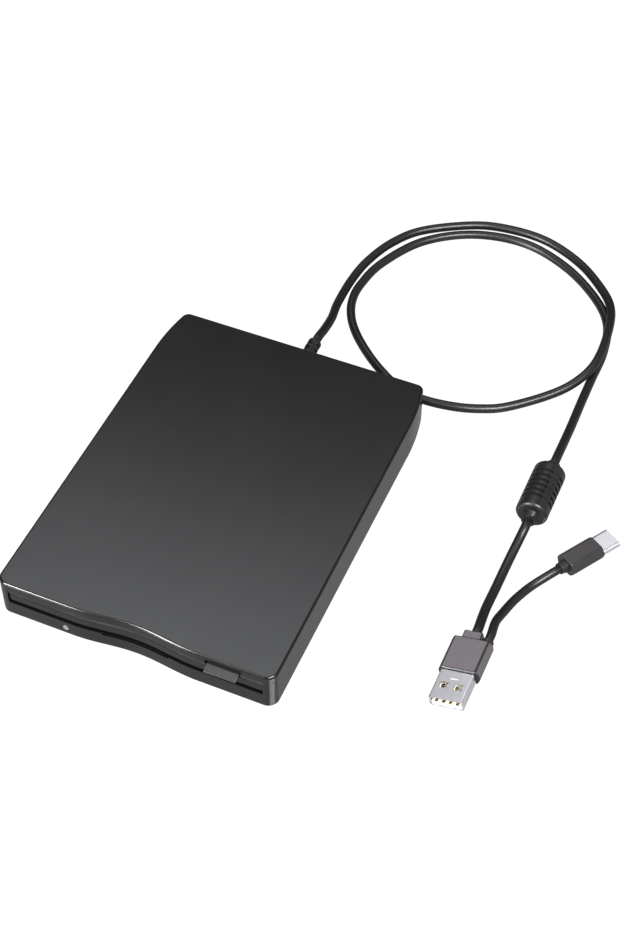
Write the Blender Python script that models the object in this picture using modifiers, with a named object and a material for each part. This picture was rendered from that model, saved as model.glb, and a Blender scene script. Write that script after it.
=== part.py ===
"""External floppy disk drive with a captive cord: one object for each physical piece.

Run with: blender --background --python part.py
Lengths are metres. +Z is up, the slot faces -Y, and the drive stands on z = 0.
"""

import math

import bmesh
import bpy
from mathutils import Matrix, Vector

# Clearances and cuts
SEAT_GAP = 0.0003
SLIDE_GAP = 0.00035
PIN_GAP = 0.00025
OVERRUN = 0.002
JOIN = 0.0002
WELD = 0.000001

# Stack of sheets and rooms from the table up
FOOT_STAND = 0.001
CASE_WALL = 0.0012
FLOOR_ROOM = 0.001
FRAME_SHEET = 0.0007
DROP_CLEARANCE = 0.0002
DROP_TRAVEL = 0.0022
CARRIER_SHEET = 0.0005
DISK_LIFT = 0.0002
SLOT_HEIGHT = 0.00425
ROOF_GAP = 0.0005
SLIDER_SHEET = 0.0005
TOP_ROOM = 0.00305

# Stack of sheets and rooms from the middle outwards
DISK_WIDTH = 0.090
DISK_SIDE_GAP = 0.0004
SIDE_ROOM = 0.003

# Stack of rooms from the front to the rear
DISK_SETBACK = 0.005
DISK_TAIL = 0.0475
DISK_NOSE = 0.0465
POST_ROOM = 0.0005
POST_THICKNESS = 0.0015
TRAVEL_MARGIN = 0.0012
TRACK_TRAVEL = 0.0158
BLOCK_DEPTH = 0.007
BACK_ROOM = 0.0072
REAR_ROOM = 0.0096

# Plan of the case
TOP_EDGE_RADIUS = 0.0009
FRONT_CORNER_RADIUS = 0.004
REAR_CORNER_RADIUS = 0.003
REAR_TAPER_LENGTH = 0.0215
REAR_TAPER_INSET = 0.0028
WAVE_DEPTH = 0.0019
WAVE_HALF_WIDTH = 0.0235

# Front openings
SLOT_SIDE_MARGIN = 0.00235
BEZEL_HEIGHT = 0.00225
BEZEL_SINK = 0.00055
FINGER_HALF_WIDTH = 0.0125
FINGER_DEPTH = 0.0009

# Eject button
BUTTON_X = 0.03325
BUTTON_WIDTH = 0.0117
BUTTON_THICKNESS = 0.0016
BUTTON_RISE = 0.00025
BUTTON_REACH = 0.0026
BUTTON_DEPTH = 0.0044
BUTTON_CHAMFER = 0.0005
BUTTON_SIDE_GAP = 0.0005
BUTTON_HEADROOM = 0.0022
BUTTON_ROOF = 0.00035
EJECT_TRAVEL = 0.0032

# Dust flap
FLAP_THICKNESS = 0.0009
FLAP_TOP_GAP = 0.00045
FLAP_TOP_DEPTH = 0.00062
FLAP_LIP_DEPTH = 0.00145
FLAP_TAIL_DEPTH = 0.0016
FLAP_TAIL = 0.0011
FLAP_SIDE_GAP = 0.00035
FLAP_AXIS_DEPTH = 0.0028
FLAP_AXIS_DROP = 0.0018
FLAP_PIN_RADIUS = 0.0006
FLAP_PIN_REACH = 0.0012
FLAP_EAR_RADIUS = 0.001
FLAP_EAR_WIDTH = 0.001
FLAP_BOSS_GAP = 0.0005
FLAP_BOSS_WIDTH = 0.0023
FLAP_BOSS_DEPTH = 0.0046
FLAP_SPRING_WIRE = 0.00035
FLAP_SPRING_TURNS = 4
FLAP_SPRING_LENGTH = 0.004
FLAP_SPRING_LEG = 0.0028

# Activity lamp
LAMP_X = -0.0262
LAMP_HEIGHT = 0.0025
LAMP_HALF_WIDTH = 0.0014
LAMP_HALF_HEIGHT = 0.0016
LAMP_GAP = 0.00025
PIPE_HALF_WIDTH = 0.001
PIPE_HEIGHT = 0.0006

# Feet and screws
FOOT_RADIUS = 0.004
FOOT_HEIGHT = 0.0015
FOOT_SOCKET = 0.0008
FOOT_EDGE = 0.0004
FOOT_SIDE_INSET = 0.012
FOOT_FRONT_INSET = 0.0165
FOOT_REAR_INSET = 0.0135
SCREW_RADIUS = 0.0008
SCREW_HEAD_RADIUS = 0.0017
SCREW_HEAD_HEIGHT = 0.0004
SCREW_SINK = 0.0001
SCREW_POST_RADIUS = 0.0025
FRAME_SCREW_SIDE = 0.0048
FRAME_SCREW_FRONT = 0.017
FRAME_SCREW_REAR = 0.012
CASE_SCREW_X = 0.038
CASE_SCREW_INSET = 0.0055
CASE_SCREW_LENGTH = 0.006
CASE_BOSS_RADIUS = 0.003

# Disk carrier and slider plate
CARRIER_LIP = 0.0029
STUD_RADIUS = 0.0008
STUD_REACH = 0.0024
STUD_RISE = 0.0027
STUD_FRONT_INSET = 0.011
STUD_REAR_INSET = 0.0188
WINDOW_HALF_WIDTH = 0.0075
WINDOW_FRONT_MARGIN = 0.005
CHUCK_HOLE_RADIUS = 0.013
SLIDER_FRONT_ROOM = 0.0005
SLIDER_REAR_INSET = 0.0048
SLIDER_SKIRT_GAP = 0.001
STEM_WIDTH = 0.008
STEM_DROP = 0.0003
STEM_OVERLAP = 0.003
SPRING_X = 0.042
SPRING_RADIUS = 0.0008
SPRING_WIRE = 0.0003
SPRING_TURNS = 12
SPRING_RISE = 0.0015
SPRING_LENGTH = 0.0155
SPRING_TAIL = 0.0062
SPRING_HOLE_RADIUS = 0.0005
EAR_SHEET = 0.0008
EAR_HALF_WIDTH = 0.0014
EAR_HEIGHT = 0.0024

# Drive frame
FRAME_WALL_HEIGHT = 0.0093
FRAME_SLOT_SHARE_FRONT = 0.2
FRAME_WINDOW_WIDTH = 0.016
FRAME_WINDOW_INSET = 0.010

# Spindle motor
ROTOR_RADIUS = 0.0155
ROTOR_THICKNESS = 0.0008
ROTOR_GAP = 0.0007
ROTOR_RISE = 0.0005
HUB_RADIUS = 0.011
HUB_RISE = 0.0007
CHUCK_PIN_RADIUS = 0.002
CHUCK_PIN_RISE = 0.0008
DRIVE_PIN_RADIUS = 0.0007
DRIVE_PIN_ORBIT = 0.0075
MOTOR_BOARD_HALF_WIDTH = 0.022
MOTOR_BOARD_FRONT = 0.020
MOTOR_BOARD_REAR = 0.016
MOTOR_BOARD_THICKNESS = 0.0004
COIL_COUNT = 9
COIL_RADIUS = 0.0028
COIL_ORBIT = 0.010
COIL_HEIGHT = 0.0004
BEARING_RADIUS = 0.0026
SHAFT_RADIUS = 0.0012

# Heads and their carriage
TRACK_RADIUS = 0.0397
ARM_HALF_WIDTH = 0.0065
ARM_TOP_RISE = 0.0006
ARM_NOSE = 0.0042
BLOCK_HALF_WIDTH = 0.007
BLOCK_TOP = 0.012
HATCH_GAP = 0.0008
HEAD_HALF_WIDTH = 0.0025
HEAD_HALF_DEPTH = 0.002
LOWER_HEAD_HEIGHT = 0.0017
UPPER_HEAD_HEIGHT = 0.001
HINGE_Z = 0.0132
HINGE_SHARE = 0.5
HINGE_EAR_INNER = 0.005
HINGE_EAR_DEPTH = 0.0015
HINGE_EAR_TOP = 0.001
HINGE_PIN_RADIUS = 0.0006
HINGE_BARREL_RADIUS = 0.001
HINGE_SIDE_GAP = 0.0003
UPPER_ARM_HALF_WIDTH = 0.0045
UPPER_ARM_THICKNESS = 0.0006
ROD_X = 0.010
ROD_Z = 0.0062
ROD_RADIUS = 0.001
SLEEVE_RADIUS = 0.0019
ROD_POST_HALF_WIDTH = 0.0018
ROD_POST_TOP = 0.0015
LEAD_X = -0.022
LEAD_Z = 0.0092
LEAD_RADIUS = 0.0015
LEAD_PIN_RADIUS = 0.0007
FOLLOWER_THICKNESS = 0.0012
FOLLOWER_HALF_HEIGHT = 0.0008
FOLLOWER_MARGIN = 0.001
STEPPER_RADIUS = 0.005
STEPPER_LUG_HALF_WIDTH = 0.006
STEPPER_BOSS_RADIUS = 0.002
STEPPER_BOSS_LENGTH = 0.0006

# Latch lever
LEVER_X = 0.018
LEVER_BACK = 0.0115
LEVER_POST_RADIUS = 0.001
LEVER_HUB_RADIUS = 0.0024
LEVER_LOW = 0.0072
LEVER_THICKNESS = 0.0008
LEVER_TAB_X = 0.006
LEVER_TAB_Y = 0.019
LEVER_ARM_WIDTH = 0.0024
LEVER_POST_HEAD = 0.0006
LEVER_SPRING_RADIUS = 0.0016
LEVER_SPRING_WIRE = 0.0003
LEVER_SPRING_TURNS = 3

# Boards and sensors
BOARD_HALF_WIDTH = 0.034
BOARD_DEPTH = 0.0065
BOARD_LOW = 0.005
BOARD_THICKNESS = 0.0012
BOARD_FRONT_GAP = 0.0006
BOARD_POST_X = 0.028
BOARD_POST_RADIUS = 0.002
CHIP_HEIGHT = 0.0012
SWITCH_X = 0.038
SWITCH_LENGTH = 0.006
SWITCH_WIDTH = 0.004
SWITCH_HEIGHT = 0.0007
SWITCH_BACK = 0.004
PLUNGER_RADIUS = 0.0006
PLUNGER_RISE = 0.0012
RIBBON_X = 0.024
RIBBON_WIDTH = 0.010
RIBBON_THICKNESS = 0.00025
RIBBON_FRONT = 0.005
RIBBON_REACH = 0.004

# Strain relief
GLAND_LENGTH = 0.0122
GLAND_BASE_RADIUS = 0.0030
GLAND_TIP_RADIUS = 0.0022
GLAND_NECK_RADIUS = 0.0025
GLAND_FLANGE_RADIUS = 0.0037
GLAND_FLANGE_THICKNESS = 0.0008
RING_COUNT = 3
RING_PITCH = 0.0028
RING_WIDTH = 0.0015
RING_RADIUS = 0.00265
RING_GROOVE_RADIUS = 0.0020
RING_END = 0.0006

# Cords
CORD_RADIUS = 0.00175
BRANCH_RADIUS = 0.0016
CORD_POINTS = 80
TAIL_POINTS = 10
BRANCH_POINTS = 10
CORD_LEAD = 0.003

# Ferrite sleeve
FERRITE_X = 0.1039
FERRITE_Y = 0.0497
FERRITE_RADIUS = 0.006
FERRITE_LENGTH = 0.0228
FERRITE_EDGE = 0.0014
FERRITE_COLLAR_RADIUS = 0.0026
FERRITE_COLLAR = 0.0031
FERRITE_GROOVES = 6
FERRITE_PITCH = 0.0025
FERRITE_GROOVE_WIDTH = 0.0011
FERRITE_GROOVE_DEPTH = 0.0009
FERRITE_RIB_WIDTH = 0.0028

# USB-A plug
USB_A_X = 0.10396
USB_A_Y = -0.0214
USB_A_TURN = math.radians(180)
USB_A_ROLL = math.radians(13.6)
USB_A_HEIGHT = 0.0062
USB_A_TOP_WIDTH = 0.0124
USB_A_WIDTH = 0.0148
USB_A_SHOULDER = 0.0020
USB_A_LENGTH = 0.0142
USB_A_EDGE = 0.0004
USB_A_COLLAR_WIDTH = 0.0068
USB_A_COLLAR_HEIGHT = 0.0050
USB_A_COLLAR = 0.0035
USB_A_CORD_OFFSET = 0.0006
USB_A_BRANCH_OFFSET = 0.0048
USB_A_BRANCH_RISE = 0.0003
USB_A_BRANCH_BOSS = 0.0016
USB_A_BRANCH_RADIUS = 0.0021
USB_A_SHELL_WIDTH = 0.012
USB_A_SHELL_HEIGHT = 0.0045
USB_A_SHELL_LENGTH = 0.0119
USB_SHELL_SHEET = 0.0003
USB_A_WINDOW_SIZE = 0.0026
USB_A_WINDOW_OFFSET = 0.0026
USB_A_WINDOW_INSET = 0.0058
USB_A_TONGUE_HEIGHT = 0.0013
USB_A_TONGUE_INSET = 0.0003
USB_A_CONTACTS = 4
USB_A_CONTACT_PITCH = 0.0025
USB_A_CONTACT_WIDTH = 0.0011
USB_A_CONTACT_LENGTH = 0.0075
USB_A_CONTACT_RISE = 0.0001

# USB-C plug
USB_C_X = 0.122
USB_C_Y = 0.0238
USB_C_TURN = math.radians(-32)
USB_C_Z = 0.00315
USB_C_HEIGHT = 0.0063
USB_C_TOP_WIDTH = 0.0057
USB_C_WIDTH = 0.0094
USB_C_LENGTH = 0.0143
USB_C_EDGE = 0.0004
USB_C_COLLAR_RADIUS = 0.0024
USB_C_COLLAR = 0.0028
USB_C_GROOVE = 0.0006
USB_C_SHELL_WIDTH = 0.0083
USB_C_SHELL_HEIGHT = 0.0024
USB_C_SHELL_LENGTH = 0.0072
USB_C_TONGUE_WIDTH = 0.0062
USB_C_TONGUE_HEIGHT = 0.0006
USB_C_TONGUE_INSET = 0.0008

# Facets
WAVE_STEPS = 8
CORNER_STEPS = 5
TAPER_STEPS = 4
RIM_STEPS = 3
LEAN_ROUNDS = 8
FINE_SIDES = 12
ROUND_SIDES = 24
DISC_SIDES = 40
COIL_POINTS = 10

# Heights
PLATE_TOP = FOOT_STAND + CASE_WALL
FRAME_LOW = PLATE_TOP + FLOOR_ROOM
FRAME_TOP = FRAME_LOW + FRAME_SHEET
LIP_LOW = FRAME_TOP + DROP_CLEARANCE + DROP_TRAVEL
LIP_TOP = LIP_LOW + CARRIER_SHEET
SLOT_LOW = LIP_TOP + DISK_LIFT
SLOT_TOP = SLOT_LOW + SLOT_HEIGHT
CARRIER_TOP = SLOT_TOP + CARRIER_SHEET
SLIDER_LOW = CARRIER_TOP + ROOF_GAP
SLIDER_TOP = SLIDER_LOW + SLIDER_SHEET
CEILING = SLIDER_TOP + TOP_ROOM
CASE_TOP = CEILING + CASE_WALL
GLAND_Z = (FOOT_STAND + CASE_TOP) / 2
STUD_Z = LIP_LOW + STUD_RISE
BUTTON_LOW = SLOT_TOP + BUTTON_RISE
BUTTON_TOP = BUTTON_LOW + BUTTON_THICKNESS
STEM_LOW = SLIDER_LOW - STEM_DROP
STEM_TOP = STEM_LOW + SLIDER_SHEET

# Widths, each measured from the middle
CARRIER_INNER = DISK_WIDTH / 2 + DISK_SIDE_GAP
CARRIER_OUTER = CARRIER_INNER + CARRIER_SHEET
SLIDER_INNER = CARRIER_OUTER + SLIDE_GAP
SLIDER_OUTER = SLIDER_INNER + SLIDER_SHEET
FRAME_INNER = SLIDER_OUTER + SLIDE_GAP
FRAME_OUTER = FRAME_INNER + FRAME_SHEET
CASE_HALF = FRAME_OUTER + SIDE_ROOM + CASE_WALL
SLOT_HALF = CARRIER_INNER + SLOT_SIDE_MARGIN
FLAP_HALF = SLOT_HALF - FLAP_SIDE_GAP

# Places along the length
MECHANISM_ROOM = POST_ROOM + POST_THICKNESS + TRAVEL_MARGIN + TRACK_TRAVEL + BLOCK_DEPTH + BACK_ROOM
CASE_LENGTH = DISK_SETBACK + DISK_TAIL + DISK_NOSE + MECHANISM_ROOM + REAR_ROOM + CASE_WALL
FRONT_Y = (BUTTON_REACH - CASE_LENGTH) / 2
REAR_Y = FRONT_Y + CASE_LENGTH
FLAP_AXIS_Y = FRONT_Y + FLAP_AXIS_DEPTH
FLAP_AXIS_Z = SLOT_LOW - FLAP_AXIS_DROP
FLAP_TOP = SLOT_TOP - FLAP_TOP_GAP
FLAP_SWING = math.hypot(FLAP_AXIS_DEPTH - FLAP_TOP_DEPTH, FLAP_TOP - FLAP_AXIS_Z)
FRAME_FRONT = FLAP_AXIS_Y + FLAP_SWING + SLIDE_GAP
SPINDLE_Y = FRONT_Y + DISK_SETBACK + DISK_TAIL
CARRIER_FRONT = FRAME_FRONT + SEAT_GAP
CARRIER_REAR = SPINDLE_Y + DISK_NOSE
POST_FRONT = CARRIER_REAR + POST_ROOM
POST_REAR = POST_FRONT + POST_THICKNESS
BLOCK_FRONT = POST_REAR + TRAVEL_MARGIN + TRACK_TRAVEL
BLOCK_REAR = BLOCK_FRONT + BLOCK_DEPTH
FRAME_REAR = BLOCK_REAR + BACK_ROOM
HEAD_Y = SPINDLE_Y + TRACK_RADIUS
SLIDER_FRONT = FRAME_FRONT + EJECT_TRAVEL + SLIDER_FRONT_ROOM
SLIDER_REAR = CARRIER_REAR - SLIDER_REAR_INSET
HINGE_Y = BLOCK_FRONT + BLOCK_DEPTH * HINGE_SHARE
FOLLOWER_REAR = BLOCK_FRONT + FOLLOWER_THICKNESS
STEPPER_FRONT = FOLLOWER_REAR + FOLLOWER_MARGIN
STEPPER_REAR = FRAME_REAR - FRAME_SHEET - SEAT_GAP
LEVER_Y = POST_FRONT + LEVER_BACK
BUTTON_BACK = FRONT_Y + BUTTON_DEPTH - BUTTON_REACH
FERRITE_END = FERRITE_LENGTH / 2 + FERRITE_COLLAR
USB_A_LOWEST = USB_A_TOP_WIDTH / 2 - USB_A_EDGE
USB_A_Z = USB_A_LOWEST * math.sin(USB_A_ROLL) + USB_A_HEIGHT / 2 * math.cos(USB_A_ROLL)

STUD_PLACES = (CARRIER_FRONT + STUD_FRONT_INSET, CARRIER_REAR - STUD_REAR_INSET)
SIDES = (("left", -1), ("right", 1))
FOOT_X = CASE_HALF - FOOT_SIDE_INSET
FOOT_PLACES = (
    ("front_left", -FOOT_X, FRONT_Y + FOOT_FRONT_INSET),
    ("front_right", FOOT_X, FRONT_Y + FOOT_FRONT_INSET),
    ("rear_left", -FOOT_X, REAR_Y - FOOT_REAR_INSET),
    ("rear_right", FOOT_X, REAR_Y - FOOT_REAR_INSET),
)
FRAME_SCREW_X = FRAME_OUTER - FRAME_SCREW_SIDE
FRAME_SCREW_PLACES = (
    ("front_left", -FRAME_SCREW_X, FRAME_FRONT + FRAME_SCREW_FRONT),
    ("front_right", FRAME_SCREW_X, FRAME_FRONT + FRAME_SCREW_FRONT),
    ("rear_left", -FRAME_SCREW_X, FRAME_REAR - FRAME_SCREW_REAR),
    ("rear_right", FRAME_SCREW_X, FRAME_REAR - FRAME_SCREW_REAR),
)
CASE_SCREW_Y = REAR_Y - CASE_WALL - CASE_SCREW_INSET
CASE_SCREW_PLACES = (
    ("left", -CASE_SCREW_X, CASE_SCREW_Y),
    ("right", CASE_SCREW_X, CASE_SCREW_Y),
)

# Routes of the free cords on the table, chosen by hand after the photographed loop
MAIN_ROUTE = (
    (-0.0002, 0.0952, 0.0071),
    (-0.0009, 0.1035, 0.0052),
    (-0.0028, 0.1142, 0.0030),
    (-0.0033, 0.1293, 0.0019),
    (-0.0016, 0.1427, 0.0018),
    (0.0035, 0.1570, 0.0018),
    (0.0125, 0.1691, 0.0018),
    (0.0309, 0.1806, 0.0018),
    (0.0456, 0.1842, 0.0018),
    (0.0614, 0.1835, 0.0018),
    (0.0769, 0.1767, 0.0021),
    (0.0890, 0.1663, 0.0030),
    (0.0983, 0.1535, 0.0044),
    (0.1020, 0.1365, 0.0057),
    (0.1022, 0.1197, 0.0056),
    (0.0975, 0.1082, 0.0040),
    (0.0897, 0.0991, 0.0026),
    (0.0775, 0.0885, 0.0018),
    (0.0690, 0.0838, 0.0018),
    (0.0590, 0.0807, 0.0018),
    (0.0469, 0.0795, 0.0018),
    (0.0365, 0.0816, 0.0018),
    (0.0272, 0.0869, 0.0018),
    (0.0183, 0.0939, 0.0018),
    (0.0101, 0.1022, 0.0018),
    (0.0046, 0.1103, 0.0018),
    (0.0015, 0.1191, 0.0018),
    (0.0011, 0.1290, 0.0018),
    (0.0043, 0.1439, 0.0018),
    (0.0149, 0.1627, 0.0018),
    (0.0329, 0.1752, 0.0018),
    (0.0542, 0.1784, 0.0018),
    (0.0741, 0.1715, 0.0018),
    (0.0904, 0.1590, 0.0018),
    (0.0994, 0.1464, 0.0018),
    (0.1027, 0.1305, 0.0018),
    (0.1028, 0.1148, 0.0018),
    (0.1030, 0.1009, 0.0022),
    (0.1035, 0.0871, 0.0035),
    (0.1038, 0.0748, 0.0052),
)
TAIL_ROUTE = (
    (0.1034, 0.0270, 0.0041),
    (0.1028, 0.0180, 0.0022),
    (0.1026, 0.0060, 0.0018),
    (0.1026, -0.0050, 0.0028),
)
BRANCH_ROUTE = (
    (0.1080, -0.0103, 0.0050),
    (0.1089, -0.0043, 0.0037),
    (0.1102, 0.0020, 0.0026),
    (0.1120, 0.0075, 0.0019),
    (0.1143, 0.0124, 0.0018),
)

MATERIALS = {
    "black_case": ((0.012, 0.012, 0.013), 0.30, 0.0),
    "black_plastic": ((0.020, 0.020, 0.021), 0.42, 0.0),
    "grey_plastic": ((0.10, 0.10, 0.11), 0.45, 0.0),
    "white_plastic": ((0.75, 0.75, 0.72), 0.40, 0.0),
    "lamp_plastic": ((0.35, 0.36, 0.36), 0.20, 0.0),
    "rubber": ((0.020, 0.020, 0.020), 0.75, 0.0),
    "cord_jacket": ((0.014, 0.014, 0.015), 0.38, 0.0),
    "sheet_steel": ((0.55, 0.56, 0.58), 0.35, 1.0),
    "bright_steel": ((0.75, 0.75, 0.76), 0.18, 1.0),
    "nickel": ((0.80, 0.80, 0.82), 0.22, 1.0),
    "plug_metal": ((0.13, 0.125, 0.13), 0.35, 0.6),
    "circuit_board": ((0.02, 0.11, 0.05), 0.45, 0.0),
    "ceramic": ((0.16, 0.15, 0.14), 0.25, 0.0),
    "ribbon": ((0.45, 0.28, 0.10), 0.35, 0.0),
}


def start_scene():
    """Clears the scene and makes the two collections."""
    for obj in list(bpy.data.objects):
        bpy.data.objects.remove(obj)
    parts = bpy.data.collections.new("external_floppy_drive")
    cutters = bpy.data.collections.new("cutters")
    bpy.context.scene.collection.children.link(parts)
    bpy.context.scene.collection.children.link(cutters)
    return parts, cutters


PARTS, CUTTERS = start_scene()


def finish_material(name):
    """The Principled material of one finish, made once."""
    found = bpy.data.materials.get(name)
    if found:
        return found
    colour, roughness, metallic = MATERIALS[name]
    made = bpy.data.materials.new(name)
    made.use_nodes = True
    shader = made.node_tree.nodes["Principled BSDF"]
    shader.inputs["Base Color"].default_value = (*colour, 1)
    shader.inputs["Roughness"].default_value = roughness
    shader.inputs["Metallic"].default_value = metallic
    made.diffuse_color = (*colour, 1)
    return made


def keep(obj, material_name):
    """Files a finished piece and gives it its material."""
    for old in obj.users_collection:
        old.objects.unlink(obj)
    PARTS.objects.link(obj)
    obj.data.materials.clear()
    obj.data.materials.append(finish_material(material_name))
    return obj


def helper(obj):
    """Files a shape that only cuts or joins another."""
    for old in obj.users_collection:
        old.objects.unlink(obj)
    CUTTERS.objects.link(obj)
    obj.hide_render = True
    obj.display_type = "WIRE"
    return obj


def mesh_object(name, bm):
    """An object from a finished bmesh."""
    bmesh.ops.recalc_face_normals(bm, faces=bm.faces)
    mesh = bpy.data.meshes.new(name)
    bm.to_mesh(mesh)
    bm.free()
    obj = bpy.data.objects.new(name, mesh)
    PARTS.objects.link(obj)
    return obj


def box(name, low, high):
    """A box between two corners."""
    size = Vector(high) - Vector(low)
    middle = (Vector(high) + Vector(low)) / 2
    bm = bmesh.new()
    bmesh.ops.create_cube(bm, size=1, matrix=Matrix.Translation(middle) @ Matrix.Diagonal((*size, 1)))
    return mesh_object(name, bm)


def rod(name, radius, start, end, sides=ROUND_SIDES):
    """A cylinder from one point to another."""
    start = Vector(start)
    along = Vector(end) - start
    turn = Vector((0, 0, 1)).rotation_difference(along).to_matrix().to_4x4()
    place = Matrix.Translation(start + along / 2) @ turn
    bm = bmesh.new()
    bmesh.ops.create_cone(
        bm, cap_ends=True, segments=sides, radius1=radius, radius2=radius, depth=along.length, matrix=place
    )
    obj = mesh_object(name, bm)
    smooth(obj)
    return obj


def smooth(obj, degrees=40):
    """Shades round faces smooth and keeps the hard edges."""
    obj.data.shade_smooth()
    obj.data.set_sharp_from_angle(angle=math.radians(degrees))


def slab(name, outline, low, high):
    """A flat outline in plan, standing from one height to another."""
    curve = bpy.data.curves.new(name, "CURVE")
    curve.dimensions = "2D"
    curve.fill_mode = "BOTH"
    curve.extrude = (high - low) / 2
    spline = curve.splines.new("POLY")
    spline.points.add(len(outline) - 1)
    for point, place in zip(spline.points, outline):
        point.co = (*place, 0, 1)
    spline.use_cyclic_u = True
    source = bpy.data.objects.new(name, curve)
    PARTS.objects.link(source)
    bpy.context.view_layer.update()
    mesh = bpy.data.meshes.new_from_object(source.evaluated_get(bpy.context.evaluated_depsgraph_get()))
    bpy.data.objects.remove(source)
    bm = bmesh.new()
    bm.from_mesh(mesh)
    bmesh.ops.remove_doubles(bm, verts=bm.verts, dist=WELD)
    for sense in (1, -1):
        cap = [face for face in bm.faces if face.normal.z * sense > JOIN]
        bmesh.ops.dissolve_faces(bm, faces=cap)
    bmesh.ops.translate(bm, verts=bm.verts, vec=(0, 0, (high + low) / 2))
    bpy.data.meshes.remove(mesh)
    return mesh_object(name, bm)


def bar(name, section, start_x, end_x):
    """A section drawn in (y, z) and run along X."""
    obj = slab(name, section, start_x, end_x)
    obj.data.transform(Matrix(((0, 0, 1, 0), (1, 0, 0, 0), (0, 1, 0, 0), (0, 0, 0, 1))))
    return obj


def upright(name, outline, low, high):
    """An outline drawn in (x, z) and run along Y."""
    obj = slab(name, [(z, x) for x, z in outline], low, high)
    obj.data.transform(Matrix(((0, 1, 0, 0), (0, 0, 1, 0), (1, 0, 0, 0), (0, 0, 0, 1))))
    return obj


def turned(name, profile, place, axis="Z", sides=ROUND_SIDES):
    """A profile of (radius, height) from top to bottom, turned about Z and laid along its axis."""
    mesh = bpy.data.meshes.new(name)
    edges = [(index, index + 1) for index in range(len(profile) - 1)]
    mesh.from_pydata([(radius, 0, height) for radius, height in profile], edges, [])
    obj = bpy.data.objects.new(name, mesh)
    PARTS.objects.link(obj)
    screw = obj.modifiers.new("turn", "SCREW")
    screw.steps = sides
    screw.render_steps = sides
    screw.use_merge_vertices = True
    screw.merge_threshold = WELD
    screw.use_smooth_shade = True
    obj.location = place
    if axis == "Y":
        obj.rotation_euler.x = math.radians(-90)
    return obj


def settle(obj):
    """Applies an object's modifiers and place, so that it can be cut or joined."""
    bpy.context.view_layer.update()
    mesh = bpy.data.meshes.new_from_object(obj.evaluated_get(bpy.context.evaluated_depsgraph_get()))
    name = obj.name
    place = obj.matrix_world.copy()
    bpy.data.objects.remove(obj)
    bm = bmesh.new()
    bm.from_mesh(mesh)
    bpy.data.meshes.remove(mesh)
    bmesh.ops.remove_doubles(bm, verts=bm.verts, dist=WELD)
    bmesh.ops.transform(bm, matrix=place, verts=bm.verts)
    made = mesh_object(name, bm)
    smooth(made)
    return made


def combine(obj, operation, others):
    """Live Booleans of one object with its helpers, one after another."""
    for other in others:
        step = obj.modifiers.new(other.name, "BOOLEAN")
        step.operation = operation
        step.solver = "EXACT"
        step.object = helper(other)
    return obj


def cut(obj, *others):
    return combine(obj, "DIFFERENCE", others)


def join(obj, *others):
    return combine(obj, "UNION", others)


def soften(obj, width, segments=1):
    """Rounds the sharp edges of a piece."""
    bevel = obj.modifiers.new("edges", "BEVEL")
    bevel.width = width
    bevel.segments = segments
    bevel.limit_method = "ANGLE"
    bevel.angle_limit = math.radians(35)
    return obj


def hang(obj, place):
    """Moves an object's origin to a point of its joint's axis."""
    obj.data.transform(Matrix.Translation(-Vector(place)))
    obj.location = place
    return obj


def tube(name, points, radius, roundness=2):
    """A round wire or cord through points."""
    curve = bpy.data.curves.new(name, "CURVE")
    curve.dimensions = "3D"
    curve.bevel_depth = radius
    curve.bevel_resolution = roundness
    curve.use_fill_caps = True
    spline = curve.splines.new("POLY")
    spline.points.add(len(points) - 1)
    for point, place in zip(spline.points, points):
        point.co = (*place, 1)
    obj = bpy.data.objects.new(name, curve)
    PARTS.objects.link(obj)
    return obj


def smooth_route(route, count):
    """Evenly spaced points on a smooth curve through a route's own points."""
    knots = [Vector(point) for point in route]
    knots = [2 * knots[0] - knots[1], *knots, 2 * knots[-1] - knots[-2]]
    fine = []
    for before, start, end, after in zip(knots, knots[1:], knots[2:], knots[3:]):
        for step in range(12):
            t = step / 12
            along = 2 * start + (end - before) * t
            along += (2 * before - 5 * start + 4 * end - after) * t * t
            along += (3 * start - before - 3 * end + after) * t * t * t
            fine.append(along / 2)
    fine.append(knots[-2])
    runs = [0.0]
    for one, two in zip(fine, fine[1:]):
        runs.append(runs[-1] + (two - one).length)
    points = []
    index = 0
    for number in range(count):
        wanted = runs[-1] * number / (count - 1)
        while index < len(runs) - 2 and runs[index + 1] < wanted:
            index += 1
        share = (wanted - runs[index]) / (runs[index + 1] - runs[index])
        points.append(fine[index].lerp(fine[index + 1], min(share, 1)))
    return points, runs[-1]


def wave(x):
    """How far the front face is drawn back at x."""
    if abs(x) >= WAVE_HALF_WIDTH:
        return 0
    return WAVE_DEPTH * (1 + math.cos(math.pi * x / WAVE_HALF_WIDTH)) / 2


def arc(centre, radius, start, end, steps):
    """Points of a round stretch between two angles."""
    angles = [start + (end - start) * step / steps for step in range(steps + 1)]
    return [(centre[0] + radius * math.cos(a), centre[1] + radius * math.sin(a)) for a in angles]


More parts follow.
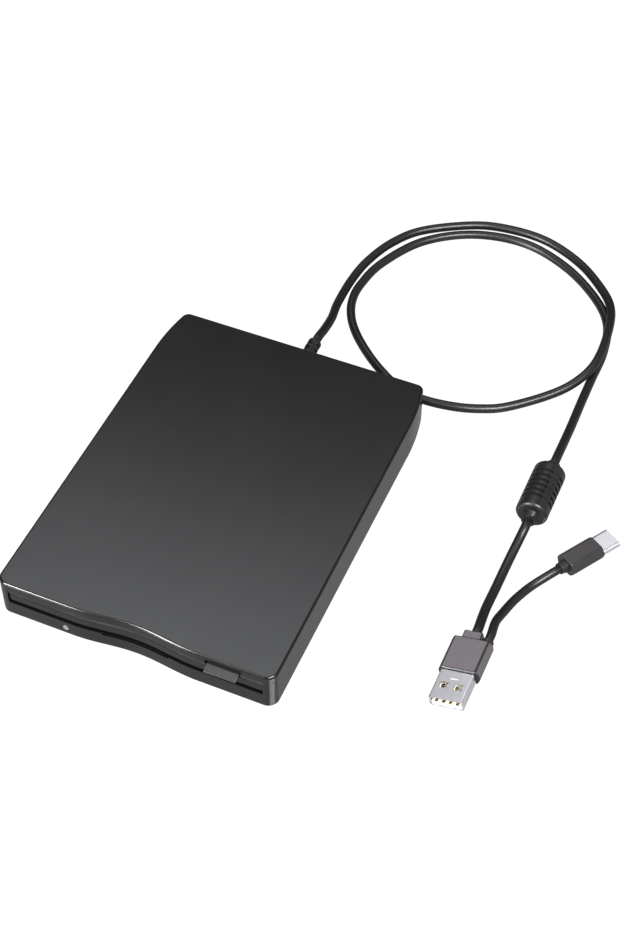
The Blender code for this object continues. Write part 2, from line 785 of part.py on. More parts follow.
def case_outline(inset):
    """The case's plan drawn in by an inset: wavy front, tapered rear, round corners."""
    half = []
    for step in range(WAVE_STEPS):
        x = WAVE_HALF_WIDTH * step / WAVE_STEPS
        slope = -math.sin(math.pi * x / WAVE_HALF_WIDTH) * math.pi * WAVE_DEPTH / WAVE_HALF_WIDTH / 2
        inward = Vector((-slope, 1)).normalized() * inset
        half.append((x + inward.x, FRONT_Y + wave(x) + inward.y))
    half.append((WAVE_HALF_WIDTH, FRONT_Y + inset))
    corner = (CASE_HALF - FRONT_CORNER_RADIUS, FRONT_Y + FRONT_CORNER_RADIUS)
    half += arc(corner, FRONT_CORNER_RADIUS - inset, -math.pi / 2, 0, CORNER_STEPS)
    taper_start = REAR_Y - REAR_TAPER_LENGTH
    lean = 0
    for _ in range(LEAN_ROUNDS):
        taper_run = REAR_TAPER_LENGTH - REAR_CORNER_RADIUS * (1 - math.sin(lean))
        lean = math.atan(2 * REAR_TAPER_INSET * taper_run / REAR_TAPER_LENGTH**2)
    for step in range(TAPER_STEPS + 1):
        share = taper_run / REAR_TAPER_LENGTH * step / TAPER_STEPS
        outward = Vector((1, 2 * REAR_TAPER_INSET * share / REAR_TAPER_LENGTH)).normalized()
        x = CASE_HALF - REAR_TAPER_INSET * share**2
        y = taper_start + REAR_TAPER_LENGTH * share
        half.append((x - outward.x * inset, y - outward.y * inset))
    centre = (x - outward.x * REAR_CORNER_RADIUS, y - outward.y * REAR_CORNER_RADIUS)
    half += arc(centre, REAR_CORNER_RADIUS - inset, lean, math.pi / 2, CORNER_STEPS)[1:]
    return half + [(-x, y) for x, y in reversed(half[1:])]


def follow_wave(obj):
    """Cuts a straight bar at the wave's steps and lays it along the wavy front."""
    bm = bmesh.new()
    bm.from_mesh(obj.data)
    for step in range(-WAVE_STEPS, WAVE_STEPS + 1):
        place = (WAVE_HALF_WIDTH * step / WAVE_STEPS, 0, 0)
        faces = bm.verts[:] + bm.edges[:] + bm.faces[:]
        bmesh.ops.bisect_plane(bm, geom=faces, plane_co=place, plane_no=(1, 0, 0), dist=WELD)
    for vert in bm.verts:
        vert.co.y += wave(vert.co.x)
    bmesh.ops.triangulate(bm, faces=[face for face in bm.faces if len(face.verts) > 4])
    bm.to_mesh(obj.data)
    bm.free()
    return obj


def round_rim(obj, height, radius):
    """Rounds the edges of a slab's upper rim."""
    bm = bmesh.new()
    bm.from_mesh(obj.data)
    rim = [e for e in bm.edges if all(abs(v.co.z - height) < WELD for v in e.verts)]
    bmesh.ops.bevel(
        bm, geom=rim, offset=radius, segments=RIM_STEPS, profile=0.5, affect="EDGES", clamp_overlap=False
    )
    bm.to_mesh(obj.data)
    bm.free()
    return obj


def capsule(radius, start, end):
    """Outline of a slot with round ends from one point to another."""
    heading = math.atan2(end[1] - start[1], end[0] - start[0])
    quarter = math.pi / 2
    near = arc(start, radius, heading + quarter, heading + 3 * quarter, CORNER_STEPS)
    far = arc(end, radius, heading - quarter, heading + quarter, CORNER_STEPS)
    return near + far


def helix(centre, radius, turns, length, axis, start=0.0):
    """Points along a coil of so many turns."""
    points = []
    for step in range(turns * COIL_POINTS + 1):
        angle = start + 2 * math.pi * step / COIL_POINTS
        run = length * step / (turns * COIL_POINTS)
        across = (radius * math.cos(angle), radius * math.sin(angle))
        shift = {"X": (run, *across), "Y": (across[0], run, across[1]), "Z": (*across, run)}[axis]
        points.append(Vector(centre) + Vector(shift))
    return points


def screw_profile(length):
    """Screw with a flat head, point up, in heights above its head's lower face."""
    return (
        (0, length),
        (SCREW_RADIUS, length),
        (SCREW_RADIUS, SCREW_HEAD_HEIGHT),
        (SCREW_HEAD_RADIUS, SCREW_HEAD_HEIGHT),
        (SCREW_HEAD_RADIUS, 0),
        (0, 0),
    )


def make_top_cover():
    """Shell with the top, four walls, wavy front, disk slot and sloped bezel."""
    cover = slab("top_cover", case_outline(0), FOOT_STAND, CASE_TOP)
    round_rim(cover, CASE_TOP, TOP_EDGE_RADIUS)
    cut(cover, slab("case_hollow", case_outline(CASE_WALL), FOOT_STAND - OVERRUN, CEILING))
    wall_back = FRONT_Y + WAVE_DEPTH + CASE_WALL + JOIN
    cut(
        cover,
        box("disk_slot", (-SLOT_HALF, FRONT_Y - OVERRUN, SLOT_LOW), (SLOT_HALF, wall_back, SLOT_TOP)),
    )
    bezel = (
        (FRONT_Y - OVERRUN, SLOT_TOP + BEZEL_HEIGHT),
        (FRONT_Y - OVERRUN, SLOT_TOP - JOIN),
        (FRONT_Y + BEZEL_SINK, SLOT_TOP - JOIN),
        (FRONT_Y + BEZEL_SINK, SLOT_TOP),
        (FRONT_Y, SLOT_TOP + BEZEL_HEIGHT),
    )
    cut(cover, follow_wave(bar("sloped_bezel", bezel, -SLOT_HALF, SLOT_HALF)))
    notch_half = BUTTON_WIDTH / 2 + BUTTON_SIDE_GAP
    cut(
        cover,
        box(
            "button_notch",
            (BUTTON_X - notch_half, FRONT_Y - OVERRUN, SLOT_TOP - JOIN),
            (BUTTON_X + notch_half, FRONT_Y + CASE_WALL + JOIN, BUTTON_TOP + BUTTON_HEADROOM),
        ),
        box(
            "finger_notch",
            (-FINGER_HALF_WIDTH, FRONT_Y - OVERRUN, SLOT_LOW - FINGER_DEPTH),
            (FINGER_HALF_WIDTH, wall_back, SLOT_LOW + JOIN),
        ),
        lamp_oval("lamp_hole", LAMP_GAP, -OVERRUN, CASE_WALL + JOIN),
        rod(
            "gland_hole",
            GLAND_NECK_RADIUS + SEAT_GAP,
            (0, REAR_Y - CASE_WALL - JOIN, GLAND_Z),
            (0, REAR_Y + OVERRUN, GLAND_Z),
        ),
    )
    for side, sign in SIDES:
        inner = FLAP_HALF + FLAP_BOSS_GAP
        ends = sorted((sign * inner, sign * (inner + FLAP_BOSS_WIDTH)))
        boss_top = FLAP_AXIS_Z + 2 * FLAP_AXIS_DROP
        boss = box(
            f"flap_boss_{side}",
            (ends[0], FRONT_Y + CASE_WALL - JOIN, PLATE_TOP + SEAT_GAP),
            (ends[1], FRONT_Y + FLAP_BOSS_DEPTH, boss_top),
        )
        reach = FLAP_HALF + FLAP_PIN_REACH + FLAP_BOSS_GAP
        hole = rod(
            f"flap_hole_{side}",
            FLAP_PIN_RADIUS + PIN_GAP,
            (sign * (inner - JOIN), FLAP_AXIS_Y, FLAP_AXIS_Z),
            (sign * reach, FLAP_AXIS_Y, FLAP_AXIS_Z),
            FINE_SIDES,
        )
        join(cover, boss)
        cut(cover, hole)
    for side, x, y in CASE_SCREW_PLACES:
        boss_low = PLATE_TOP + SEAT_GAP
        boss = rod(f"case_boss_{side}", CASE_BOSS_RADIUS, (x, y, boss_low), (x, y, CEILING + JOIN))
        hole = rod(
            f"case_boss_hole_{side}",
            SCREW_RADIUS + PIN_GAP,
            (x, y, boss_low - JOIN),
            (x, y, FOOT_STAND + CASE_SCREW_LENGTH + OVERRUN),
            FINE_SIDES,
        )
        join(cover, boss)
        cut(cover, hole)
    smooth(cover, 30)
    keep(cover, "black_case")


def lamp_oval(name, gap, near, far):
    """The lamp's oval section through the front wall, between two depths."""
    middle_z = FOOT_STAND + LAMP_HEIGHT
    turn = Matrix.Rotation(math.radians(90), 4, "X")
    size = Matrix.Diagonal((LAMP_HALF_WIDTH + gap, LAMP_HALF_HEIGHT + gap, far - near, 1))
    place = Matrix.Translation((LAMP_X, FRONT_Y + (near + far) / 2, middle_z))
    bm = bmesh.new()
    bmesh.ops.create_cone(
        bm, cap_ends=True, segments=ROUND_SIDES, radius1=1, radius2=1, depth=1, matrix=place @ turn @ size
    )
    obj = mesh_object(name, bm)
    smooth(obj)
    return obj


def make_lamp():
    """Lens in the front lip with its light pipe back under the flap."""
    lens = lamp_oval("lamp_lens", 0, 0, CASE_WALL + LAMP_GAP)
    pipe_low = PLATE_TOP + SEAT_GAP
    pipe = box(
        "lamp_pipe",
        (LAMP_X - PIPE_HALF_WIDTH, FRONT_Y + CASE_WALL, pipe_low),
        (LAMP_X + PIPE_HALF_WIDTH, FRAME_FRONT, pipe_low + PIPE_HEIGHT),
    )
    join(lens, pipe)
    keep(lens, "lamp_plastic")


def make_bottom_cover():
    """Inset plate with sockets for the feet, screw posts and board posts."""
    plate = slab("bottom_cover", case_outline(CASE_WALL + SEAT_GAP), FOOT_STAND, PLATE_TOP)
    for name, x, y in FRAME_SCREW_PLACES:
        post_top = FRAME_LOW - SEAT_GAP
        join(plate, rod(f"frame_post_{name}", SCREW_POST_RADIUS, (x, y, PLATE_TOP - JOIN), (x, y, post_top)))
    board_y = FRAME_REAR + BOARD_FRONT_GAP + BOARD_DEPTH / 2
    for side, sign in SIDES:
        x = sign * BOARD_POST_X
        post_top = BOARD_LOW - SEAT_GAP
        join(
            plate,
            rod(f"board_post_{side}", BOARD_POST_RADIUS, (x, board_y, PLATE_TOP - JOIN), (x, board_y, post_top)),
        )
    for name, x, y in FOOT_PLACES:
        socket_top = FOOT_STAND + FOOT_SOCKET
        socket = rod(
            f"foot_socket_{name}", FOOT_RADIUS + SEAT_GAP, (x, y, FOOT_STAND - JOIN), (x, y, socket_top)
        )
        cut(plate, socket)
    for name, x, y in FRAME_SCREW_PLACES + CASE_SCREW_PLACES:
        head_room = FOOT_STAND + SCREW_SINK + SCREW_HEAD_HEIGHT + SEAT_GAP
        cut(
            plate,
            rod(
                f"screw_head_{name}",
                SCREW_HEAD_RADIUS + SEAT_GAP,
                (x, y, FOOT_STAND - JOIN),
                (x, y, head_room),
            ),
            rod(
                f"screw_way_{name}",
                SCREW_RADIUS + PIN_GAP,
                (x, y, FOOT_STAND),
                (x, y, FRAME_LOW),
                FINE_SIDES,
            ),
        )
    smooth(plate, 30)
    keep(plate, "black_plastic")


def make_feet_and_screws():
    foot_profile = (
        (0, FOOT_HEIGHT),
        (FOOT_RADIUS, FOOT_HEIGHT),
        (FOOT_RADIUS, FOOT_EDGE),
        (FOOT_RADIUS - FOOT_EDGE, 0),
        (0, 0),
    )
    for name, x, y in FOOT_PLACES:
        keep(turned(f"rubber_foot_{name}", foot_profile, (x, y, 0)), "rubber")
    head_low = FOOT_STAND + SCREW_SINK
    for name, x, y in FRAME_SCREW_PLACES:
        profile = screw_profile(FRAME_TOP - SCREW_SINK - head_low)
        keep(turned(f"frame_screw_{name}", profile, (x, y, head_low), sides=FINE_SIDES), "bright_steel")
    for name, x, y in CASE_SCREW_PLACES:
        profile = screw_profile(CASE_SCREW_LENGTH)
        keep(turned(f"case_screw_{name}", profile, (x, y, head_low), sides=FINE_SIDES), "bright_steel")


def make_dust_flap():
    """Flap behind the lip, following the wave, with an ear and a pin at each end."""
    lip_y = FRONT_Y + FLAP_LIP_DEPTH
    tail_y = FRONT_Y + FLAP_TAIL_DEPTH
    top_y = FRONT_Y + FLAP_TOP_DEPTH
    section = (
        (top_y, FLAP_TOP),
        (lip_y, SLOT_LOW),
        (tail_y, SLOT_LOW - FLAP_TAIL),
        (tail_y + FLAP_THICKNESS, SLOT_LOW - FLAP_TAIL),
        (lip_y + FLAP_THICKNESS, SLOT_LOW),
        (top_y + FLAP_THICKNESS, FLAP_TOP),
    )
    flap = follow_wave(bar("dust_flap", section, -FLAP_HALF, FLAP_HALF))
    coil_reach = FLAP_PIN_RADIUS + PIN_GAP + FLAP_SPRING_WIRE + SEAT_GAP
    spring_room = box(
        "spring_room",
        (FLAP_HALF - FLAP_EAR_WIDTH - FLAP_SPRING_LENGTH, FRONT_Y, FLAP_AXIS_Z),
        (FLAP_HALF - FLAP_EAR_WIDTH, FLAP_AXIS_Y + coil_reach, FLAP_AXIS_Z + coil_reach),
    )
    cut(flap, spring_room)
    for side, sign in SIDES:
        ends = sorted((sign * FLAP_HALF, sign * (FLAP_HALF - FLAP_EAR_WIDTH)))
        web = box(
            f"flap_web_{side}",
            (ends[0], tail_y + JOIN, FLAP_AXIS_Z),
            (ends[1], FLAP_AXIS_Y + FLAP_PIN_RADIUS, SLOT_LOW),
        )
        ear = rod(
            f"flap_ear_{side}",
            FLAP_EAR_RADIUS,
            (ends[0], FLAP_AXIS_Y, FLAP_AXIS_Z),
            (ends[1], FLAP_AXIS_Y, FLAP_AXIS_Z),
        )
        pin = rod(
            f"flap_pin_{side}",
            FLAP_PIN_RADIUS,
            (sign * (FLAP_HALF - FLAP_EAR_WIDTH - FLAP_SPRING_LENGTH * (side == "right")), FLAP_AXIS_Y, FLAP_AXIS_Z),
            (sign * (FLAP_HALF + FLAP_PIN_REACH), FLAP_AXIS_Y, FLAP_AXIS_Z),
            FINE_SIDES,
        )
        join(flap, web, ear, pin)
    keep(hang(flap, (0, FLAP_AXIS_Y, FLAP_AXIS_Z)), "black_plastic")


def make_flap_spring():
    """Torsion spring round the flap's pin: its long leg presses the flap, its short leg the boss."""
    start_x = FLAP_HALF - FLAP_EAR_WIDTH - FLAP_SPRING_LENGTH
    coil_radius = FLAP_PIN_RADIUS + PIN_GAP + FLAP_SPRING_WIRE / 2
    pitch_room = FLAP_SPRING_LENGTH - 2 * SEAT_GAP - FLAP_SPRING_WIRE
    centre = (start_x + SEAT_GAP + FLAP_SPRING_WIRE / 2, FLAP_AXIS_Y, FLAP_AXIS_Z)
    coil = helix(centre, coil_radius, FLAP_SPRING_TURNS, pitch_room, "X")
    leg_end = coil[0] + Vector((0, -coil_radius, FLAP_SPRING_LEG))
    keep(tube("flap_spring", [leg_end, *coil], FLAP_SPRING_WIRE / 2, 1), "bright_steel")


def make_eject_button():
    """Button with a chamfered lower edge and a groove for the slider's stem."""
    left = BUTTON_X - BUTTON_WIDTH / 2
    right = BUTTON_X + BUTTON_WIDTH / 2
    front = FRONT_Y - BUTTON_REACH
    section = (
        (front, BUTTON_TOP),
        (front, BUTTON_LOW + BUTTON_CHAMFER),
        (front + BUTTON_CHAMFER, BUTTON_LOW),
        (BUTTON_BACK, BUTTON_LOW),
        (BUTTON_BACK, BUTTON_TOP),
    )
    button = bar("eject_button", section, left, right)
    stem_half = STEM_WIDTH / 2 + SEAT_GAP
    groove = box(
        "stem_groove",
        (BUTTON_X - stem_half, FRONT_Y - SEAT_GAP, BUTTON_LOW - JOIN),
        (BUTTON_X + stem_half, BUTTON_BACK + JOIN, BUTTON_TOP - BUTTON_ROOF),
    )
    cut(button, groove)
    keep(hang(button, (BUTTON_X, FRONT_Y, BUTTON_LOW)), "black_plastic")


def make_slider_plate():
    """Roof and two skirts with inclined slots, and the stem to the button."""
    skirt_low = FRAME_TOP + SLIDER_SKIRT_GAP
    plate = box(
        "slider_plate", (-SLIDER_OUTER, SLIDER_FRONT, skirt_low), (SLIDER_OUTER, SLIDER_REAR, SLIDER_TOP)
    )
    hollow = box(
        "slider_hollow",
        (-SLIDER_INNER, SLIDER_FRONT - OVERRUN, skirt_low - OVERRUN),
        (SLIDER_INNER, SLIDER_REAR + OVERRUN, SLIDER_LOW),
    )
    cut(plate, hollow, head_window("slider_head_window", SLIDER_LOW, SLIDER_TOP, SLIDER_REAR))
    cut(plate, chuck_hole("slider_chuck_hole", SLIDER_LOW, SLIDER_TOP))
    stem = box(
        "slider_stem",
        (BUTTON_X - STEM_WIDTH / 2, FRONT_Y, STEM_LOW),
        (BUTTON_X + STEM_WIDTH / 2, SLIDER_FRONT + STEM_OVERLAP, STEM_TOP),
    )
    join(plate, stem)
    slope = (EJECT_TRAVEL, -DROP_TRAVEL)
    for side, sign in SIDES:
        for number, stud_y in enumerate(STUD_PLACES):
            ends = sorted((sign * (SLIDER_INNER - JOIN), sign * (SLIDER_OUTER + JOIN)))
            outline = capsule(
                STUD_RADIUS + PIN_GAP, (stud_y, STUD_Z), (stud_y + slope[0], STUD_Z + slope[1])
            )
            cut(plate, bar(f"ramp_{side}_{number}", outline, *ends))
        ear_y = spring_ear_y()
        ear_x = sign * SPRING_X
        ear = box(
            f"slider_ear_{side}",
            (ear_x - EAR_HALF_WIDTH, ear_y, SLIDER_TOP - JOIN),
            (ear_x + EAR_HALF_WIDTH, ear_y + EAR_SHEET, SLIDER_TOP + EAR_HEIGHT),
        )
        hole = rod(
            f"slider_ear_hole_{side}",
            SPRING_HOLE_RADIUS,
            (ear_x, ear_y - JOIN, SLIDER_TOP + SPRING_RISE),
            (ear_x, ear_y + EAR_SHEET + JOIN, SLIDER_TOP + SPRING_RISE),
            FINE_SIDES,
        )
        join(plate, ear)
        cut(plate, hole)
    keep(hang(plate, (0, SLIDER_FRONT, SLIDER_LOW)), "sheet_steel")


def spring_ear_y():
    """Front face of the slider's spring ears."""
    return spring_front_y() + SPRING_LENGTH + EJECT_TRAVEL + SPRING_TAIL - 2 * EAR_SHEET - SPRING_TAIL / 2


def spring_front_y():
    """Where the tension springs start, behind the frame's front ears."""
    return FRAME_FRONT + EAR_SHEET + SEAT_GAP


def head_window(name, low, high, rear):
    """Cutter for the slot that the heads travel in, open at the rear."""
    front = HEAD_Y - TRACK_TRAVEL - WINDOW_FRONT_MARGIN
    return box(
        name,
        (-WINDOW_HALF_WIDTH, front, low - JOIN),
        (WINDOW_HALF_WIDTH, rear + OVERRUN, high + JOIN),
    )


def chuck_hole(name, low, high):
    """Cutter for the round hole over the spindle."""
    return rod(name, CHUCK_HOLE_RADIUS, (0, SPINDLE_Y, low - JOIN), (0, SPINDLE_Y, high + JOIN), DISC_SIDES)


def make_slider_springs():
    """Tension springs from the frame's front ears to the slider's ears."""
    for side, sign in SIDES:
        height = SLIDER_TOP + SPRING_RISE
        start = Vector((sign * SPRING_X, spring_front_y(), height))
        coil_start = start + Vector((0, SPRING_WIRE, 0))
        coil = helix(coil_start, SPRING_RADIUS, SPRING_TURNS, SPRING_LENGTH - SPRING_WIRE, "Y")
        coil_end = start.y + SPRING_LENGTH
        centre_end = Vector((start.x, coil_end + SPRING_RADIUS, height))
        ear_back = spring_ear_y() + EAR_SHEET
        hook = Vector((start.x, ear_back + SEAT_GAP + SPRING_WIRE, height))
        hook_up = hook + Vector((0, 0, SPRING_RADIUS))
        spring = tube(f"slider_spring_{side}", [*coil, centre_end, hook, hook_up], SPRING_WIRE / 2, 0)
        keep(spring, "bright_steel")


def make_disk_carrier():
    """Holder of the disk: roof, two walls with lips under the disk, four studs."""
    carrier = box(
        "disk_carrier", (-CARRIER_OUTER, CARRIER_FRONT, LIP_LOW), (CARRIER_OUTER, CARRIER_REAR, CARRIER_TOP)
    )
    tray = box(
        "carrier_hollow",
        (-CARRIER_INNER, CARRIER_FRONT - OVERRUN, LIP_TOP),
        (CARRIER_INNER, CARRIER_REAR + OVERRUN, SLOT_TOP),
    )
    lip_half = CARRIER_INNER - CARRIER_LIP
    floor = box(
        "carrier_floor",
        (-lip_half, CARRIER_FRONT - OVERRUN, LIP_LOW - OVERRUN),
        (lip_half, CARRIER_REAR + OVERRUN, LIP_TOP + JOIN),
    )
    cut(carrier, tray, floor)
    cut(carrier, head_window("carrier_head_window", SLOT_TOP, CARRIER_TOP, CARRIER_REAR))
    cut(carrier, chuck_hole("carrier_chuck_hole", SLOT_TOP, CARRIER_TOP))
    for side, sign in SIDES:
        for number, stud_y in enumerate(STUD_PLACES):
            stud = rod(
                f"stud_{side}_{number}",
                STUD_RADIUS,
                (sign * (CARRIER_OUTER - JOIN), stud_y, STUD_Z),
                (sign * (CARRIER_OUTER + STUD_REACH), stud_y, STUD_Z),
                FINE_SIDES,
            )
            join(carrier, stud)
    keep(hang(carrier, (0, CARRIER_FRONT, LIP_LOW)), "sheet_steel")


def make_drive_frame():
    """Folded sheet chassis: floor, two walls, rod posts, screw bracket and motor lug."""
    wall_top = FRAME_TOP + FRAME_WALL_HEIGHT
    frame = box("drive_frame", (-FRAME_OUTER, FRAME_FRONT, FRAME_LOW), (FRAME_OUTER, FRAME_REAR, wall_top))
    cut(
        frame,
        box(
            "frame_hollow",
            (-FRAME_INNER, FRAME_FRONT - OVERRUN, FRAME_TOP),
            (FRAME_INNER, FRAME_REAR + OVERRUN, wall_top + OVERRUN),
        ),
    )
    rotor_way = ROTOR_RADIUS + ROTOR_GAP
    low = FRAME_LOW - JOIN
    high = FRAME_TOP + JOIN
    hatch_half = BLOCK_HALF_WIDTH + HATCH_GAP
    hatch_front = HEAD_Y - ARM_NOSE - TRACK_TRAVEL - HATCH_GAP
    cut(
        frame,
        rod("rotor_hole", rotor_way, (0, SPINDLE_Y, low), (0, SPINDLE_Y, high), DISC_SIDES),
        box("carriage_hatch", (-hatch_half, hatch_front, low), (hatch_half, BLOCK_REAR + HATCH_GAP, high)),
    )
    for side, sign in SIDES:
        window_near = MOTOR_BOARD_HALF_WIDTH + SEAT_GAP
        ends = sorted((sign * window_near, sign * (window_near + FRAME_WINDOW_WIDTH)))
        front = SPINDLE_Y - ROTOR_RADIUS
        rear = POST_FRONT - FRAME_WINDOW_INSET
        cut(frame, box(f"frame_window_{side}", (ends[0], front, low), (ends[1], rear, high)))
        for number, stud_y in enumerate(STUD_PLACES):
            outline = capsule(
                STUD_RADIUS + PIN_GAP, (stud_y, STUD_Z), (stud_y, STUD_Z - DROP_TRAVEL)
            )
            walls = sorted((sign * (FRAME_INNER - JOIN), sign * (FRAME_OUTER + JOIN)))
            cut(frame, bar(f"stud_slot_{side}_{number}", outline, *walls))
        ear_x = sign * SPRING_X
        ear_ends = sorted((sign * FRAME_OUTER, ear_x - sign * EAR_HALF_WIDTH))
        ear = box(
            f"frame_ear_{side}",
            (ear_ends[0], FRAME_FRONT, SLIDER_TOP + SEAT_GAP),
            (ear_ends[1], FRAME_FRONT + EAR_SHEET, SLIDER_TOP + EAR_HEIGHT),
        )
        join(frame, ear)
    for name, x, y in FRAME_SCREW_PLACES:
        cut(frame, rod(f"frame_hole_{name}", SCREW_RADIUS + PIN_GAP, (x, y, low), (x, y, high), FINE_SIDES))
    join_frame_posts(frame)
    keep(frame, "sheet_steel")


def join_frame_posts(frame):
    """Posts of the guide rod and lead screw, the motor's lug and the lever's post."""
    post_ends = (
        ("front", POST_FRONT, POST_REAR),
        ("rear", FRAME_REAR - POST_THICKNESS - TRAVEL_MARGIN, FRAME_REAR - TRAVEL_MARGIN),
    )
    for end, near, far in post_ends:
        post = box(
            f"rod_post_{end}",
            (ROD_X - ROD_POST_HALF_WIDTH, near, FRAME_TOP - JOIN),
            (ROD_X + ROD_POST_HALF_WIDTH, far, ROD_Z + ROD_RADIUS + ROD_POST_TOP),
        )
        join(frame, post)
    rod_way = rod("rod_way", ROD_RADIUS + PIN_GAP, (ROD_X, POST_FRONT + SEAT_GAP, ROD_Z), rod_rear(SEAT_GAP))
    bracket = box(
        "screw_bracket",
        (LEAD_X - 2 * LEAD_RADIUS, POST_FRONT, FRAME_TOP - JOIN),
        (LEAD_X + 2 * LEAD_RADIUS, POST_REAR, LEAD_Z + 2 * LEAD_RADIUS),
    )
    bracket_hole = rod(
        "screw_bracket_hole",
        LEAD_PIN_RADIUS + PIN_GAP,
        (LEAD_X, POST_FRONT - JOIN, LEAD_Z),
        (LEAD_X, POST_REAR + JOIN, LEAD_Z),
        FINE_SIDES,
    )
    lug = box(
        "stepper_lug",
        (LEAD_X - STEPPER_LUG_HALF_WIDTH, FRAME_REAR - FRAME_SHEET, FRAME_TOP - JOIN),
        (LEAD_X + STEPPER_LUG_HALF_WIDTH, FRAME_REAR, LEAD_Z + STEPPER_RADIUS),
    )
    lug_hole = rod(
        "stepper_lug_hole",
        STEPPER_BOSS_RADIUS,
        (LEAD_X, FRAME_REAR - FRAME_SHEET - JOIN, LEAD_Z),
        (LEAD_X, FRAME_REAR + JOIN, LEAD_Z),
        FINE_SIDES,
    )
    lever_post = rod(
        "lever_post",
        LEVER_POST_RADIUS,
        (LEVER_X, LEVER_Y, FRAME_TOP - JOIN),
        (LEVER_X, LEVER_Y, LEVER_LOW + LEVER_THICKNESS + LEVER_POST_HEAD),
        FINE_SIDES,
    )
    join(frame, bracket, lug, lever_post)
    cut(frame, rod_way, bracket_hole, lug_hole)


def rod_rear(gap):
    """Rear end of the guide rod, with a gap past it for its hole."""
    return (ROD_X, FRAME_REAR - TRAVEL_MARGIN - 2 * SEAT_GAP + gap, ROD_Z)


def make_guide_rod():
    start = (ROD_X, POST_FRONT + 2 * SEAT_GAP, ROD_Z)
    keep(rod("guide_rod", ROD_RADIUS, start, rod_rear(0)), "bright_steel")


def rotor_levels():
    """Lower face of the rotor, its upper face and the hub's face."""
    low = FRAME_LOW + ROTOR_RISE
    return low, low + ROTOR_THICKNESS, low + ROTOR_THICKNESS + HUB_RISE


def make_spindle():
    """Rotor with the hub, centre pin and drive pin that turn the disk."""
    low, high, hub = rotor_levels()
    shaft_low = board_top() + SEAT_GAP / 2
    profile = (
        (0, hub + CHUCK_PIN_RISE),
        (CHUCK_PIN_RADIUS, hub + CHUCK_PIN_RISE),
        (CHUCK_PIN_RADIUS, hub),
        (HUB_RADIUS, hub),
        (HUB_RADIUS, high),
        (ROTOR_RADIUS, high),
        (ROTOR_RADIUS, low),
        (SHAFT_RADIUS, low),
        (SHAFT_RADIUS, shaft_low),
        (0, shaft_low),
    )
    spindle = settle(turned("spindle_rotor", profile, (0, SPINDLE_Y, 0), sides=DISC_SIDES))
    pin_y = SPINDLE_Y + DRIVE_PIN_ORBIT
    pin = rod("drive_pin", DRIVE_PIN_RADIUS, (0, pin_y, hub - JOIN), (0, pin_y, hub + CHUCK_PIN_RISE), FINE_SIDES)
    join(spindle, pin)
    keep(hang(spindle, (0, SPINDLE_Y, 0)), "bright_steel")


def board_top():
    """Upper face of the motor board, which seats under the frame's floor."""
    return FRAME_LOW - SEAT_GAP


def make_motor_board():
    """Motor board with its ring of coils and the spindle's bearing."""
    top = board_top()
    board = box(
        "motor_board",
        (-MOTOR_BOARD_HALF_WIDTH, SPINDLE_Y - MOTOR_BOARD_FRONT, top - MOTOR_BOARD_THICKNESS),
        (MOTOR_BOARD_HALF_WIDTH, SPINDLE_Y + MOTOR_BOARD_REAR, top),
    )
    for number in range(COIL_COUNT):
        angle = 2 * math.pi * number / COIL_COUNT
        x = COIL_ORBIT * math.cos(angle)
        y = SPINDLE_Y + COIL_ORBIT * math.sin(angle)
        coil_top = top + COIL_HEIGHT
        join(board, rod(f"coil_{number}", COIL_RADIUS, (x, y, top - JOIN), (x, y, coil_top), FINE_SIDES))
    boss_top = FRAME_LOW + ROTOR_RISE - SEAT_GAP
    boss = rod("bearing_boss", BEARING_RADIUS, (0, SPINDLE_Y, top - JOIN), (0, SPINDLE_Y, boss_top))
    bore = rod("bearing_bore", SHAFT_RADIUS + PIN_GAP, (0, SPINDLE_Y, top), (0, SPINDLE_Y, boss_top + JOIN))
    join(board, boss)
    cut(board, bore)
    keep(board, "circuit_board")


